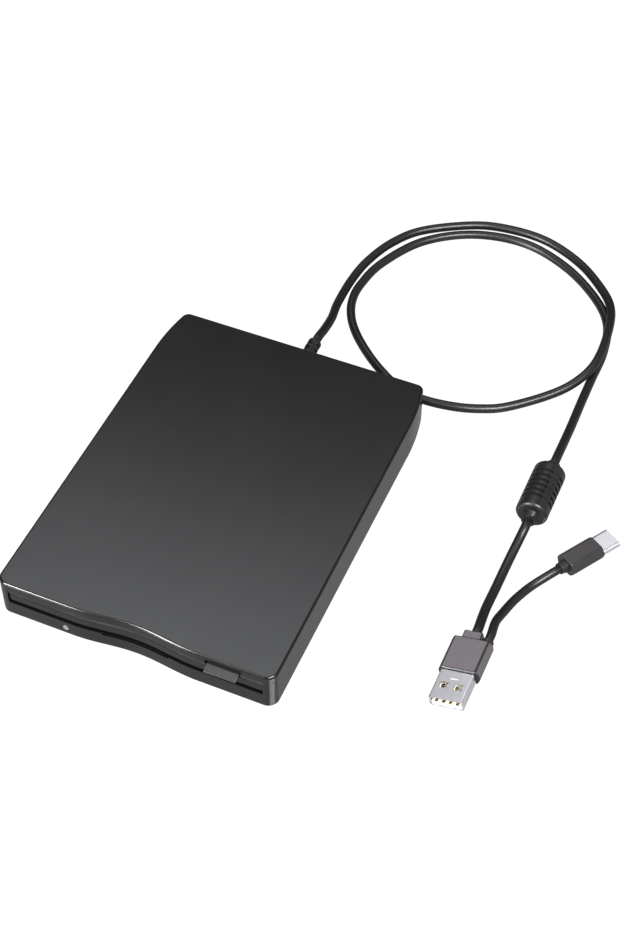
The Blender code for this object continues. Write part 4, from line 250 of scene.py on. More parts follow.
# The corner of its section that touches the floor, measured from its own axis.
USB_A_REST = (0.0058, 0.0031)
USB_A_Z = USB_A_REST[0] * math.sin(USB_A_ROLL) + USB_A_REST[1] * math.cos(USB_A_ROLL)
USB_A_POINT = (0.10396, -0.0214, USB_A_Z)
USB_A_PLACE = (
    Matrix.Translation(USB_A_POINT)
    @ Matrix.Rotation(math.radians(180), 4, "Z")
    @ Matrix.Rotation(USB_A_ROLL, 4, "Y")
)
USB_C_POINT = (0.122, 0.0238, 0.00315)
USB_C_TURN = math.radians(-32)
USB_C_PLACE = Matrix.Translation(USB_C_POINT) @ Matrix.Rotation(USB_C_TURN, 4, "Z")
USB_A_COLLAR = 0.0035
USB_A_CORD_SHIFT = 0.0006
USB_A_BRANCH = Vector((-0.0048, -0.0016, 0.0003))
USB_C_COLLAR = 0.0028

MAIN_ROUTE = (
    (-0.0002, 0.0952, 0.0071),
    (-0.0009, 0.1035, 0.0052),
    (-0.0028, 0.1142, 0.0030),
    (-0.0033, 0.1293, 0.0019),
    (-0.0016, 0.1427, 0.0018),
    (0.0035, 0.1570, 0.0018),
    (0.0125, 0.1691, 0.0018),
    (0.0309, 0.1806, 0.0018),
    (0.0456, 0.1842, 0.0018),
    (0.0614, 0.1835, 0.0018),
    (0.0769, 0.1767, 0.0021),
    (0.0890, 0.1663, 0.0030),
    (0.0983, 0.1535, 0.0044),
    (0.1020, 0.1365, 0.0057),
    (0.1022, 0.1197, 0.0056),
    (0.0975, 0.1082, 0.0040),
    (0.0897, 0.0991, 0.0026),
    (0.0775, 0.0885, 0.0018),
    (0.0690, 0.0838, 0.0018),
    (0.0590, 0.0807, 0.0018),
    (0.0469, 0.0795, 0.0018),
    (0.0365, 0.0816, 0.0018),
    (0.0272, 0.0869, 0.0018),
    (0.0183, 0.0939, 0.0018),
    (0.0101, 0.1022, 0.0018),
    (0.0046, 0.1103, 0.0018),
    (0.0015, 0.1191, 0.0018),
    (0.0011, 0.1290, 0.0018),
    (0.0043, 0.1439, 0.0018),
    (0.0149, 0.1627, 0.0018),
    (0.0329, 0.1752, 0.0018),
    (0.0542, 0.1784, 0.0018),
    (0.0741, 0.1715, 0.0018),
    (0.0904, 0.1590, 0.0018),
    (0.0994, 0.1464, 0.0018),
    (0.1027, 0.1305, 0.0018),
    (0.1028, 0.1148, 0.0018),
    (0.1030, 0.1009, 0.0022),
    (0.1035, 0.0871, 0.0035),
    (0.1038, 0.0748, 0.0052),
)
TAIL_ROUTE = (
    (0.1034, 0.0270, 0.0041),
    (0.1028, 0.0180, 0.0022),
    (0.1026, 0.0060, 0.0018),
    (0.1026, -0.0050, 0.0028),
)
BRANCH_ROUTE = (
    (0.1080, -0.0103, 0.0050),
    (0.1089, -0.0043, 0.0037),
    (0.1102, 0.0020, 0.0026),
    (0.1120, 0.0075, 0.0019),
    (0.1143, 0.0124, 0.0018),
)


def smooth_route(route, steps=8):
    """Points on a smooth curve that passes through all points of a route."""
    knots = [Vector(point) for point in route]
    knots = [2 * knots[0] - knots[1], *knots, 2 * knots[-1] - knots[-2]]
    fine = []
    for before, start, end, after in zip(knots, knots[1:], knots[2:], knots[3:]):
        for step in range(steps):
            t = step / steps
            along = 2 * start + (end - before) * t
            along += (2 * before - 5 * start + 4 * end - after) * t * t
            along += (3 * start - before - 3 * end + after) * t * t * t
            fine.append(along / 2)
    return fine + [knots[-2]]


def route_length(points):
    return sum((two - one).length for one, two in zip(points, points[1:]))


# %% Cord shapes
def cord_curve(name, points, radius, body, node):
    """A round jacket along the points, in place of the plain tube of the CAD."""
    curve = bpy.data.curves.new(name, "CURVE")
    curve.dimensions = "3D"
    # Full depth with small point radii, because a curve's own box grows by its points' radii.
    curve.bevel_depth = 1
    curve.bevel_resolution = 6
    curve.use_fill_caps = True
    spline = curve.splines.new("POLY")
    spline.points.add(len(points) - 1)
    for point, place in zip(spline.points, points):
        point.co = (*place, 1)
        point.radius = radius
    spline.use_smooth = True
    obj = bpy.data.objects.new(name, curve)
    bpy.context.scene.collection.objects.link(obj)
    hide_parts(node)
    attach(obj, body)
    print(name, round(route_length(points), 4), "m long")
    return obj


lead = Vector((0, CORD_LEAD, 0))
gland_end = Vector((0, relief_high.y + END_GAP, GLAND_Z))
rear_end = Vector((FERRITE_X, FERRITE_Y + FERRITE_END + END_GAP, FERRITE_Z))
front_end = Vector((FERRITE_X, FERRITE_Y - FERRITE_END - END_GAP, FERRITE_Z))
a_end = Vector((USB_A_CORD_SHIFT, -USB_A_COLLAR - END_GAP, 0))
branch_end = USB_A_BRANCH - Vector((0, END_GAP, 0))
c_end = Vector((0, -USB_C_COLLAR - END_GAP, 0))

main_points = smooth_route((gland_end, gland_end + lead, *MAIN_ROUTE, rear_end + lead, rear_end))
tail_points = smooth_route(
    (front_end, front_end - lead, *TAIL_ROUTE, USB_A_PLACE @ (a_end - lead), USB_A_PLACE @ a_end)
)
branch_points = smooth_route(
    (
        USB_A_PLACE @ branch_end,
        USB_A_PLACE @ (branch_end - lead),
        *BRANCH_ROUTE,
        USB_C_PLACE @ (c_end - lead),
        USB_C_PLACE @ c_end,
    )
)
main_cord = cord_curve("main_lead", main_points, CORD_RADIUS, "base", "main_cord")
tail_cord = cord_curve("tail_lead", tail_points, CORD_RADIUS, "base", "tail_cord")
branch_cord = cord_curve("branch_lead", branch_points, BRANCH_RADIUS, "base", "branch_cord")

# %% [markdown]
# ## Shared effects of the finishes
# No moulded surface is perfectly even. Spark-eroded moulds leave a very fine grain, and hands
# and cloths leave slow changes of gloss. Both are node groups, so that every plastic uses the
# same effect with its own strength.

# %% Node groups
COARSE_SHARE = 0.3
NOISE_MIDDLE = 0.5
TONE_SPAN = (0.35, 0.65)


def new_group(name, inputs, output):
    """An empty shader group with named float inputs and one float output."""
    group = bpy.data.node_groups.new(name, "ShaderNodeTree")
    for label in inputs:
        group.interface.new_socket(label, in_out="INPUT", socket_type="NodeSocketFloat")
    group.interface.new_socket(output, in_out="OUTPUT", socket_type="NodeSocketFloat")
    return group, group.nodes.new("NodeGroupInput"), group.nodes.new("NodeGroupOutput")


def noise(tree, scale, detail, roughness=0.55, place=None):
    """Noise at a scale that comes from a socket, in the object's own space or another."""
    node = tree.nodes.new("ShaderNodeTexNoise")
    node.inputs["Detail"].default_value = detail
    node.inputs["Roughness"].default_value = roughness
    place = place or tree.nodes.new("ShaderNodeTexCoord").outputs["Object"]
    link(tree, place, node.inputs["Vector"])
    link(tree, scale, node.inputs["Scale"])
    return node.outputs[0]


def make_grain_group():
    """Fine mould grain: a height from two noises, one over the other."""
    group, start, end = new_group("mould_grain", ["Scale"], "Height")
    scale = start.outputs["Scale"]
    fine = noise(group, scale, 2.0)
    coarse = noise(group, with_number(group, "MULTIPLY", scale, COARSE_SHARE), 2.0)
    link(group, combined(group, "ADD", fine, coarse), end.inputs["Height"])
    return group


def make_gloss_group():
    """Slow change of gloss from handling: a roughness round a middle value."""
    group, start, end = new_group("handled_gloss", ["Roughness", "Spread", "Scale"], "Roughness")
    patches = noise(group, start.outputs["Scale"], 4.0, 0.6)
    centred = with_number(group, "SUBTRACT", patches, NOISE_MIDDLE)
    spread = combined(group, "MULTIPLY", centred, start.outputs["Spread"])
    total = combined(group, "ADD", spread, start.outputs["Roughness"])
    link(group, total, end.inputs["Roughness"])
    return group


def make_tint_group():
    """Slight change of tone from place to place, as a factor between two colours."""
    group, start, end = new_group("uneven_tone", ["Scale"], "Mask")
    ramp = group.nodes.new("ShaderNodeMapRange")
    ramp.inputs["From Min"].default_value, ramp.inputs["From Max"].default_value = TONE_SPAN
    link(group, noise(group, start.outputs["Scale"], 5.0, 0.6), ramp.inputs["Value"])
    link(group, ramp.outputs[0], end.inputs["Mask"])
    return group


def make_brushed_group():
    """Drawing lines of rolled or brushed metal, long along one axis."""
    group, start, end = new_group("brushed_lines", ["Scale", "Stretch"], "Lines")
    parts = group.nodes.new("ShaderNodeSeparateXYZ")
    whole = group.nodes.new("ShaderNodeCombineXYZ")
    own_space = group.nodes.new("ShaderNodeTexCoord").outputs["Object"]
    link(group, own_space, parts.inputs[0])
    x, y, z = parts.outputs
    shrunk = combined(group, "DIVIDE", y, start.outputs["Stretch"])
    for source, target in zip((x, shrunk, z), whole.inputs):
        link(group, source, target)
    lines = noise(group, start.outputs["Scale"], 3.0, place=whole.outputs[0])
    link(group, lines, end.inputs["Lines"])
    return group


GRAIN = make_grain_group()
GLOSS = make_gloss_group()
TONE = make_tint_group()
BRUSHED = make_brushed_group()
print("node groups:", [group.name for group in (GRAIN, GLOSS, TONE, BRUSHED)])

# %% [markdown]
# ## Finishes
# The plastics differ in tone, gloss and grain, the metals in colour and in how they were
# worked. One function makes any plastic and one any metal, and the values tell them apart.


# %% Finish builders
TONE_SCALE = 45.0
GLOSS_SCALE = 70.0
GRAIN_DEPTH = 0.00003
METAL_SPREAD = 0.08
METAL_GLOSS_SCALE = 120.0
LINE_DEPTH = 0.00002


def place_group(tree, group, **values):
    """The output of a group that is placed in a material, with its inputs set."""
    node = tree.nodes.new("ShaderNodeGroup")
    node.node_tree = group
    for label, value in values.items():
        node.inputs[label].default_value = value
    return node.outputs[0]


def two_tones(tree, shader, dark, light, mask):
    """Base colour between two tones, by a mask."""
    mix = tree.nodes.new("ShaderNodeMix")
    mix.data_type = "RGBA"
    mix.inputs["A"].default_value = (*dark, 1)
    mix.inputs["B"].default_value = (*light, 1)
    link(tree, mask, mix.inputs["Factor"])
    link(tree, mix.outputs["Result"], shader.inputs["Base Color"])


def bump(tree, shader, height, strength, distance):
    node = tree.nodes.new("ShaderNodeBump")
    node.inputs["Strength"].default_value = strength
    node.inputs["Distance"].default_value = distance
    link(tree, height, node.inputs["Height"])
    link(tree, node.outputs[0], shader.inputs["Normal"])


def plastic(name, dark, light, roughness, spread=0.05, grain=6000.0, strength=0.04):
    material, tree, shader = new_material(name)
    two_tones(tree, shader, dark, light, place_group(tree, TONE, Scale=TONE_SCALE))
    gloss = place_group(tree, GLOSS, Roughness=roughness, Spread=spread, Scale=GLOSS_SCALE)
    link(tree, gloss, shader.inputs["Roughness"])
    bump(tree, shader, place_group(tree, GRAIN, Scale=grain), strength, GRAIN_DEPTH)
    return material


def metal(name, dark, light, roughness, scale=900.0, stretch=25.0, strength=0.06, metallic=1.0):
    material, tree, shader = new_material(name)
    lines = place_group(tree, BRUSHED, Scale=scale, Stretch=stretch)
    two_tones(tree, shader, dark, light, lines)
    gloss = place_group(
        tree, GLOSS, Roughness=roughness, Spread=METAL_SPREAD, Scale=METAL_GLOSS_SCALE
    )
    link(tree, gloss, shader.inputs["Roughness"])
    bump(tree, shader, lines, strength, LINE_DEPTH)
    shader.inputs["Metallic"].default_value = metallic
    return material


# %% Finishes of this drive
CASE_BLACK = plastic("case_black", (0.0022, 0.0022, 0.0025), (0.0032, 0.0032, 0.0035), 0.21, 0.04)
TRIM_BLACK = plastic("trim_black", (0.009, 0.009, 0.010), (0.013, 0.013, 0.014), 0.42)
# The button's grey is lighter than the case. Part of that lightness is a painted reflection of
# the light its sloped top catches.
BUTTON_GREY_AND_SHEEN = plastic("button_grey_and_painted_sheen", (0.014, 0.014, 0.015), (0.018, 0.018, 0.019), 0.30)
BOOT_BLACK = plastic("boot_black", (0.006, 0.006, 0.0065), (0.010, 0.010, 0.011), 0.36)
JACKET_BLACK = plastic(
    "jacket_black", (0.003, 0.003, 0.0033), (0.005, 0.005, 0.0055), 0.38, 0.0, 3000.0, 0.0
)
FOOT_RUBBER = plastic("foot_rubber", (0.018, 0.018, 0.018), (0.028, 0.028, 0.027), 0.75)
ARM_GREY = plastic("arm_grey", (0.09, 0.09, 0.10), (0.12, 0.12, 0.13), 0.45)
SOCKET_WHITE = plastic("socket_white", (0.70, 0.70, 0.67), (0.80, 0.80, 0.77), 0.40)
HEAD_CERAMIC = plastic("head_ceramic", (0.13, 0.12, 0.11), (0.17, 0.16, 0.15), 0.22)
BOARD_GREEN = plastic(
    "board_green", (0.010, 0.075, 0.030), (0.018, 0.11, 0.05), 0.38, 0.08, 900.0, 0.2
)
RIBBON_AMBER = plastic("ribbon_amber", (0.36, 0.20, 0.06), (0.48, 0.29, 0.10), 0.30)
LENS_CLEAR = plastic("lens_frosted", (0.11, 0.12, 0.12), (0.16, 0.17, 0.17), 0.26)
PLUG_MAUVE = metal(
    "plug_mauve", (0.082, 0.073, 0.080), (0.094, 0.084, 0.092), 0.44, 900.0, 12.0, 0.01, 0.2
)
# Black of the plug mouldings: their own black on collars and ends, and a painted dark reflection
# on the broken edges.
PLUG_BLACK_AND_EDGE_REFLECTION = plastic("plug_black_and_painted_edge_reflection", (0.010, 0.0095, 0.0105), (0.015, 0.014, 0.0155), 0.32)
PLUG_DARK = metal(
    "plug_dark", (0.024, 0.021, 0.023), (0.030, 0.027, 0.029), 0.36, 900.0, 12.0, 0.01, 0.2
)
SHEET_STEEL = metal("sheet_steel", (0.42, 0.43, 0.45), (0.60, 0.61, 0.63), 0.36)
BRIGHT_STEEL = metal("bright_steel", (0.62, 0.62, 0.63), (0.80, 0.80, 0.81), 0.20)
NICKEL = metal("nickel", (0.84, 0.83, 0.87), (0.90, 0.89, 0.93), 0.34, 700.0, 20.0, 0.004)
GOLD = metal("contact_gold", (0.60, 0.42, 0.12), (0.80, 0.60, 0.22), 0.25, 1200.0, 10.0, 0.03)
for lead_piece in (main_cord, tail_cord, branch_cord):
    lead_piece.data.materials.append(JACKET_BLACK)
print(len(bpy.data.materials), "materials")

# %% [markdown]
# ## CAD pieces that stay
# The mechanism behind the flap, the lower cover, the feet and the screws have the right shape.
# They come in as loose triangles, so a live Weld joins them and an Edge Split keeps their hard
# edges while the round faces shade smooth.

# %% Dressing the kept pieces
ROUND_LIMIT = math.radians(35)
WELD_REACH = 0.000001
KEPT_FINISHES = {
    "bottom_cover": TRIM_BLACK,
    "flap_spring": BRIGHT_STEEL,
    "slider_plate": SHEET_STEEL,
    "slider_spring_left": BRIGHT_STEEL,
    "slider_spring_right": BRIGHT_STEEL,
    "disk_carrier": SHEET_STEEL,
    "drive_frame": SHEET_STEEL,
    "guide_rod": BRIGHT_STEEL,
    "spindle_rotor": BRIGHT_STEEL,
    "motor_board": BOARD_GREEN,
    "head_carriage": TRIM_BLACK,
    "lower_head": HEAD_CERAMIC,
    "upper_head_arm": ARM_GREY,
    "upper_head": HEAD_CERAMIC,
    "lead_screw": BRIGHT_STEEL,
    "stepper_motor": SHEET_STEEL,
    "latch_lever": SOCKET_WHITE,
    "lever_spring": BRIGHT_STEEL,
    "usb_board": BOARD_GREEN,
    "cord_connector": SOCKET_WHITE,
    "inner_leads": JACKET_BLACK,
    "flat_cable": RIBBON_AMBER,
    "sensor_switch_left": TRIM_BLACK,
    "sensor_switch_right": TRIM_BLACK,
    "usb_c_tongue": TRIM_BLACK,
}
for corner in ("front_left", "front_right", "rear_left", "rear_right"):
    KEPT_FINISHES[f"rubber_foot_{corner}"] = FOOT_RUBBER
    KEPT_FINISHES[f"frame_screw_{corner}"] = BRIGHT_STEEL
for side in ("left", "right"):
    KEPT_FINISHES[f"case_screw_{side}"] = BRIGHT_STEEL


def dress(node, material):
    """Gives a kept CAD piece its finish and smooth round faces."""
    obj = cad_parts[node]
    obj.data.materials.clear()
    obj.data.materials.append(material)
    obj.data.shade_smooth()
    weld = obj.modifiers.new("weld", "WELD")
    weld.merge_threshold = WELD_REACH
    split = obj.modifiers.new("hard_edges", "EDGE_SPLIT")
    split.split_angle = ROUND_LIMIT


for node, material in KEPT_FINISHES.items():
    dress(node, material)
print(len(KEPT_FINISHES), "kept pieces dressed")

# %% [markdown]
# ## Hand tools
# Every piece below comes from the same few moves: an outline or a primitive, extruded,
# bevelled, cut or joined by a Boolean, and shaded smooth up to an angle. The moves are named
# here once. Each works on one selected object, as it would by hand.

# %% Hand tools
SMALL = 0.00001
OVERRUN = 0.002
JOIN = 0.0002
# Turns an outline that was drawn as (y, z) points and pulled along Z to run along X.
SIDEWAYS = Matrix(((0, 0, 1), (1, 0, 0), (0, 1, 0))).to_euler()


def only(obj):
    """Selects one object alone and makes it active."""
    bpy.ops.object.select_all(action="DESELECT")
    obj.select_set(True)
    bpy.context.view_layer.objects.active = obj


def settle(obj):
    """Puts an object's place, turn and size into its mesh."""
    only(obj)
    bpy.ops.object.transform_apply(location=True, rotation=True, scale=True)
    return obj


def block(name, low, high):
    middle = [(a + b) / 2 for a, b in zip(low, high)]
    bpy.ops.mesh.primitive_cube_add(size=1, location=middle)
    obj = bpy.context.object
    obj.name = name
    obj.scale = [b - a for a, b in zip(low, high)]
    return settle(obj)


def pin(name, radius, start, end, sides=48):
    start, end = Vector(start), Vector(end)
    length = (end - start).length
    bpy.ops.mesh.primitive_cylinder_add(
        vertices=sides, radius=radius, depth=length, location=(start + end) / 2
    )
    obj = bpy.context.object
    obj.name = name
    obj.rotation_euler = (end - start).to_track_quat("Z", "Y").to_euler()
    return settle(obj)


def flat_outline(name, points):
    """A flat face in plan, drawn as a closed curve and made a mesh."""
    curve = bpy.data.curves.new(name, "CURVE")
    curve.dimensions = "3D"
    spline = curve.splines.new("POLY")
    spline.points.add(len(points) - 1)
    for point, (x, y) in zip(spline.points, points):
        point.co = (x, y, 0, 1)
    spline.use_cyclic_u = True
    obj = bpy.data.objects.new(name, curve)
    bpy.context.scene.collection.objects.link(obj)
    only(obj)
    bpy.ops.object.convert(target="MESH")
    obj = bpy.context.object
    bpy.ops.object.mode_set(mode="EDIT")
    bpy.ops.mesh.select_all(action="SELECT")
    bpy.ops.mesh.edge_face_add()
    bpy.ops.object.mode_set(mode="OBJECT")
    return obj


def pull(obj, moves):
    """Extrudes the whole flat face by each move in turn, and makes it a closed solid."""
    only(obj)
    bpy.ops.object.mode_set(mode="EDIT")
    bpy.ops.mesh.select_all(action="SELECT")
    for move in moves:
        bpy.ops.mesh.extrude_region_move(TRANSFORM_OT_translate={"value": move})
    bpy.ops.mesh.select_all(action="SELECT")
    bpy.ops.mesh.normals_make_consistent(inside=False)
    bpy.ops.object.mode_set(mode="OBJECT")
    return obj


def raised(name, plan, low, high):
    """An outline in plan, raised from one height to another."""
    obj = pull(flat_outline(name, plan), [(0, 0, high - low)])
    obj.location.z = low
    return settle(obj)


def drawn_out(name, section, start, end):
    """A section of (x, z) points, drawn out along Y."""
    obj = pull(flat_outline(name, [(x, -z) for x, z in section]), [(0, 0, end - start)])
    obj.rotation_euler.x = math.radians(-90)
    obj.location.y = start
    return settle(obj)


def boolean(obj, other, operation):
    only(obj)
    modifier = obj.modifiers.new("boolean", "BOOLEAN")
    modifier.operation = operation
    modifier.solver = "EXACT"
    modifier.object = other
    bpy.ops.object.modifier_apply(modifier=modifier.name)
    bpy.data.objects.remove(other)
    return obj


def carve(obj, *cutters):
    for cutter in cutters:
        boolean(obj, cutter, "DIFFERENCE")
    return obj


def fuse(obj, *others):
    for other in others:
        boolean(obj, other, "UNION")
    return obj


def round_edges(obj, radius, segments, test):
    """Bevels the edges whose two end points pass a test."""
    only(obj)
    bpy.ops.object.mode_set(mode="EDIT")
    bpy.ops.mesh.select_all(action="DESELECT")
    bpy.ops.mesh.select_mode(type="EDGE")
    form = bmesh.from_edit_mesh(obj.data)
    for edge in form.edges:
        edge.select_set(bool(test(edge)))
    bmesh.update_edit_mesh(obj.data)
    bpy.ops.mesh.bevel(offset=radius, segments=segments, affect="EDGES", clamp_overlap=True)
    bpy.ops.object.mode_set(mode="OBJECT")
    return obj


def sharp(edge, degrees=30):
    return len(edge.link_faces) == 2 and edge.calc_face_angle() > math.radians(degrees)


def turned(name, profile, place, sides=64):
    """A turned piece along Y: a disc pulled and resized along its profile of (radius, y)."""
    radius, start = profile[0]
    bpy.ops.object.select_all(action="DESELECT")
    bpy.ops.mesh.primitive_circle_add(vertices=sides, radius=radius, fill_type="NGON")
    obj = bpy.context.object
    obj.name = name
    bpy.ops.object.mode_set(mode="EDIT")
    bpy.ops.mesh.select_all(action="SELECT")
    for new_radius, y in profile[1:]:
        bpy.ops.mesh.extrude_region_move(TRANSFORM_OT_translate={"value": (0, 0, y - start)})
        share = new_radius / radius
        bpy.ops.transform.resize(value=(share, share, 1))
        radius, start = new_radius, y
    bpy.ops.mesh.select_all(action="SELECT")
    bpy.ops.mesh.normals_make_consistent(inside=False)
    bpy.ops.object.mode_set(mode="OBJECT")
    obj.rotation_euler.x = math.radians(-90)
    obj.location = Vector(place) + Vector((0, profile[0][1], 0))
    return settle(obj)


def put_on(obj, place):
    """Moves a piece that was made round a plug's own axis to the plug's place."""
    obj.matrix_world = place
    return settle(obj)


def present(obj, node, body, slot, *materials, angle=35):
    """Shading, finish and ride of a finished piece, in place of its CAD node."""
    for material in materials:
        obj.data.materials.append(material)
    only(obj)
    bpy.ops.object.shade_smooth_by_angle(angle=math.radians(angle))
    weights = obj.modifiers.new("flat_faces_first", "WEIGHTED_NORMAL")
    weights.keep_sharp = True
    bpy.ops.object.modifier_apply(modifier=weights.name)
    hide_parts(node)
    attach(obj, body)
    print(obj.name, len(obj.data.polygons), "faces for", node)
    return obj


# %% [markdown]
# ## Case
# The upper case is one injection-moulded shell of ABS, open below. Its plan has the details that
# make it look designed: a shallow wave in the front, small front corners, and sides that
# draw in over the last two centimetres. The plan is drawn once, as a formula, and serves the
# outside, the hollow and the cut that follows the wave.

# %% Case plan
CASE_WALL = 0.0012
WAVE_DEPTH = 0.0019
WAVE_HALF = 0.0235
FRONT_CORNER = 0.004
REAR_CORNER = 0.003
TAPER_LENGTH = 0.0215
TAPER_INSET = 0.0028
WAVE_STEPS = 24
ARC_STEPS = 12
TAPER_STEPS = 16
LEAN_ROUNDS = 8
front_y, rear_y, case_half = case_low.y, case_high.y, case_high.x


def wave(x):
    """How far the front lies back at a place across it."""
    if abs(x) >= WAVE_HALF:
        return 0.0
    return WAVE_DEPTH * (1 + math.cos(math.pi * x / WAVE_HALF)) / 2


def arc(centre, radius, start, end, steps=ARC_STEPS):
    angles = [start + (end - start) * step / steps for step in range(steps + 1)]
    return [(centre[0] + radius * math.cos(a), centre[1] + radius * math.sin(a)) for a in angles]


def case_plan(inset):
    """Right half from the front's middle round to the rear, then its mirror image."""
    half = []
    for step in range(WAVE_STEPS):
        x = WAVE_HALF * step / WAVE_STEPS
        slope = -math.sin(math.pi * x / WAVE_HALF) * math.pi * WAVE_DEPTH / WAVE_HALF / 2
        inward = Vector((-slope, 1)).normalized() * inset
        half.append((x + inward.x, front_y + wave(x) + inward.y))
    half.append((WAVE_HALF, front_y + inset))
    corner = (case_half - FRONT_CORNER, front_y + FRONT_CORNER)
    half += arc(corner, FRONT_CORNER - inset, -math.pi / 2, 0)
    lean = 0
    for _ in range(LEAN_ROUNDS):
        run = TAPER_LENGTH - REAR_CORNER * (1 - math.sin(lean))
        lean = math.atan(2 * TAPER_INSET * run / TAPER_LENGTH**2)
    for step in range(TAPER_STEPS + 1):
        share = run / TAPER_LENGTH * step / TAPER_STEPS
        outward = Vector((1, 2 * TAPER_INSET * share / TAPER_LENGTH)).normalized()
        x = case_half - TAPER_INSET * share**2
        y = rear_y - TAPER_LENGTH * (1 - share)
        half.append((x - outward.x * inset, y - outward.y * inset))
    centre = (x - outward.x * REAR_CORNER, y - outward.y * REAR_CORNER)
    half += arc(centre, REAR_CORNER - inset, lean, math.pi / 2)[1:]
    return half + [(-x, y) for x, y in reversed(half[1:])]


# %% [markdown]
# The slot, the sloped panel above it, the button's notch and the finger notch are all cut
# from the front wall, as slides in the mould form them. The sloped panel follows the wave, so
# its cutter is a small wedge pulled across the front station by station.

# %% Case shell
TOP_EDGE = 0.0009
CEILING = case_high.z - CASE_WALL
SLOT_HALF = 0.04775
SLOT_LOW = 0.0070
SLOT_TOP = 0.01125
BEZEL_HEIGHT = 0.00225
BEZEL_SINK = 0.00055
FINGER_HALF = 0.0125
FINGER_DEPTH = 0.0009
button_low, button_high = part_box("eject_button")
NOTCH_SIDE = 0.0005
NOTCH_ROOM = 0.0022
lens_low, lens_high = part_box("lamp_lens")
LAMP_PLACE = (-0.0262, 0.0035)
LAMP_HALF = (0.0012, 0.0013)
LAMP_GAP = 0.0002
GLAND_HOLE = 0.0028
BOSS_X = (0.0479, 0.0502)
BOSS_Y = (front_y + CASE_WALL - JOIN, front_y + 0.0046)
BOSS_Z = (0.0025, 0.0088)
FLAP_AXIS = (-0.0674, 0.0052)
FLAP_HOLE = 0.00085
SCREW_BOSS = (0.038, 0.0661)
SCREW_BOSS_RADIUS = 0.003
SCREW_HOLE = 0.00105
SCREW_HOLE_TOP = 0.009


def sloped_cutter():
    """Wedge with the panel's slope, pulled along the wavy front."""
    outside = front_y - OVERRUN
    section = [
        (outside, SLOT_TOP + BEZEL_HEIGHT),
        (outside, SLOT_TOP - JOIN),
        (front_y + BEZEL_SINK, SLOT_TOP - JOIN),
        (front_y + BEZEL_SINK, SLOT_TOP),
        (front_y, SLOT_TOP + BEZEL_HEIGHT),
    ]
    stations = [WAVE_HALF * step / WAVE_STEPS for step in range(-WAVE_STEPS, WAVE_STEPS + 1)]
    stations = [-SLOT_HALF, *stations, SLOT_HALF]
    moves = [(0, wave(b) - wave(a), b - a) for a, b in zip(stations, stations[1:])]
    obj = flat_outline("sloped_cutter", section)
    obj = pull(obj, [(across, 0, along) for _, across, along in moves])
    obj.rotation_euler = SIDEWAYS
    obj.location.x = -SLOT_HALF
    return settle(obj)


def lamp_oval(name, gap, near, far):
    """The lamp's oval, between two depths in the front wall."""
    x, z = LAMP_PLACE
    bpy.ops.mesh.primitive_cylinder_add(vertices=48, radius=1, depth=1)
    obj = bpy.context.object
    obj.name = name
    obj.scale = (LAMP_HALF[0] + gap, LAMP_HALF[1] + gap, far - near)
    obj.rotation_euler.x = math.radians(90)
    obj.location = (x, (near + far) / 2, z)
    return settle(obj)


def make_case():
    shell = raised("upper_case", case_plan(0), case_low.z, case_high.z)
    top = case_high.z - SMALL
    round_edges(shell, TOP_EDGE, 8, lambda edge: all(vert.co.z > top for vert in edge.verts))
    carve(shell, raised("hollow", case_plan(CASE_WALL), case_low.z - OVERRUN, CEILING))
    outside = front_y - OVERRUN
    inside = front_y + WAVE_DEPTH + CASE_WALL + JOIN
    notch = (button_low.x - NOTCH_SIDE, button_high.x + NOTCH_SIDE)
    gland_start = (0, rear_y - CASE_WALL - JOIN, GLAND_Z)
    carve(
        shell,
        block("slot", (-SLOT_HALF, outside, SLOT_LOW), (SLOT_HALF, inside, SLOT_TOP)),
        sloped_cutter(),
        block(
            "button_notch",
            (notch[0], outside, SLOT_TOP - JOIN),
            (notch[1], front_y + CASE_WALL + JOIN, button_high.z + NOTCH_ROOM),
        ),
        block(
            "finger_notch",
            (-FINGER_HALF, outside, SLOT_LOW - FINGER_DEPTH),
            (FINGER_HALF, inside, SLOT_LOW + JOIN),
        ),
        lamp_oval("lamp_hole", LAMP_GAP, outside, inside),
        pin("gland_hole", GLAND_HOLE, gland_start, (0, rear_y + OVERRUN, GLAND_Z)),
    )
    for sign in (-1, 1):
        near, far = sorted((sign * BOSS_X[0], sign * BOSS_X[1]))
        fuse(shell, block("flap_boss", (near, BOSS_Y[0], BOSS_Z[0]), (far, BOSS_Y[1], BOSS_Z[1])))
        start = (sign * (BOSS_X[0] - JOIN), *FLAP_AXIS)
        end = (sign * (BOSS_X[0] + OVERRUN), *FLAP_AXIS)
        carve(shell, pin("flap_hole", FLAP_HOLE, start, end, 24))
        x, y = sign * SCREW_BOSS[0], SCREW_BOSS[1]
        start, end = (x, y, BOSS_Z[0]), (x, y, CEILING + JOIN)
        fuse(shell, pin("screw_boss", SCREW_BOSS_RADIUS, start, end))
        start, end = (x, y, BOSS_Z[0] - JOIN), (x, y, SCREW_HOLE_TOP)
        carve(shell, pin("screw_hole", SCREW_HOLE, start, end, 24))
    return present(shell, "top_cover", "base", "black_case", CASE_BLACK, angle=28)


make_case()

# %% [markdown]
# ## Dust flap
# The flap closes the slot from behind. Its upright panel follows the wave close behind the
# front, so it catches the same light as the front, and its set-back foot leaves the dark line
# under it. An ear and a pin at each end hang it in the case.

# %% Dust flap
FLAP_HALF = 0.0474
FLAP_PANEL = (0.00062, 0.00152)
FLAP_FOOT = (0.0014, 0.00235)
FLAP_TOP = SLOT_TOP - 0.0002
FLAP_STEP = SLOT_LOW + 0.0011
FLAP_LOW = SLOT_LOW - 0.0011
FLAP_EAR = 0.001
FLAP_PIN = (0.0006, 0.0012)
SPRING_ROOM = (0.004, 0.00145)


def wavy_strip(front, back):
    """Plan of a strip that follows the wave, between two depths."""
    steps = range(-WAVE_STEPS, WAVE_STEPS + 1)
    across = [-FLAP_HALF, *(WAVE_HALF * step / WAVE_STEPS for step in steps), FLAP_HALF]
    line = [(x, front_y + wave(x)) for x in across]
    return [(x, y + front) for x, y in line] + [(x, y + back) for x, y in reversed(line)]


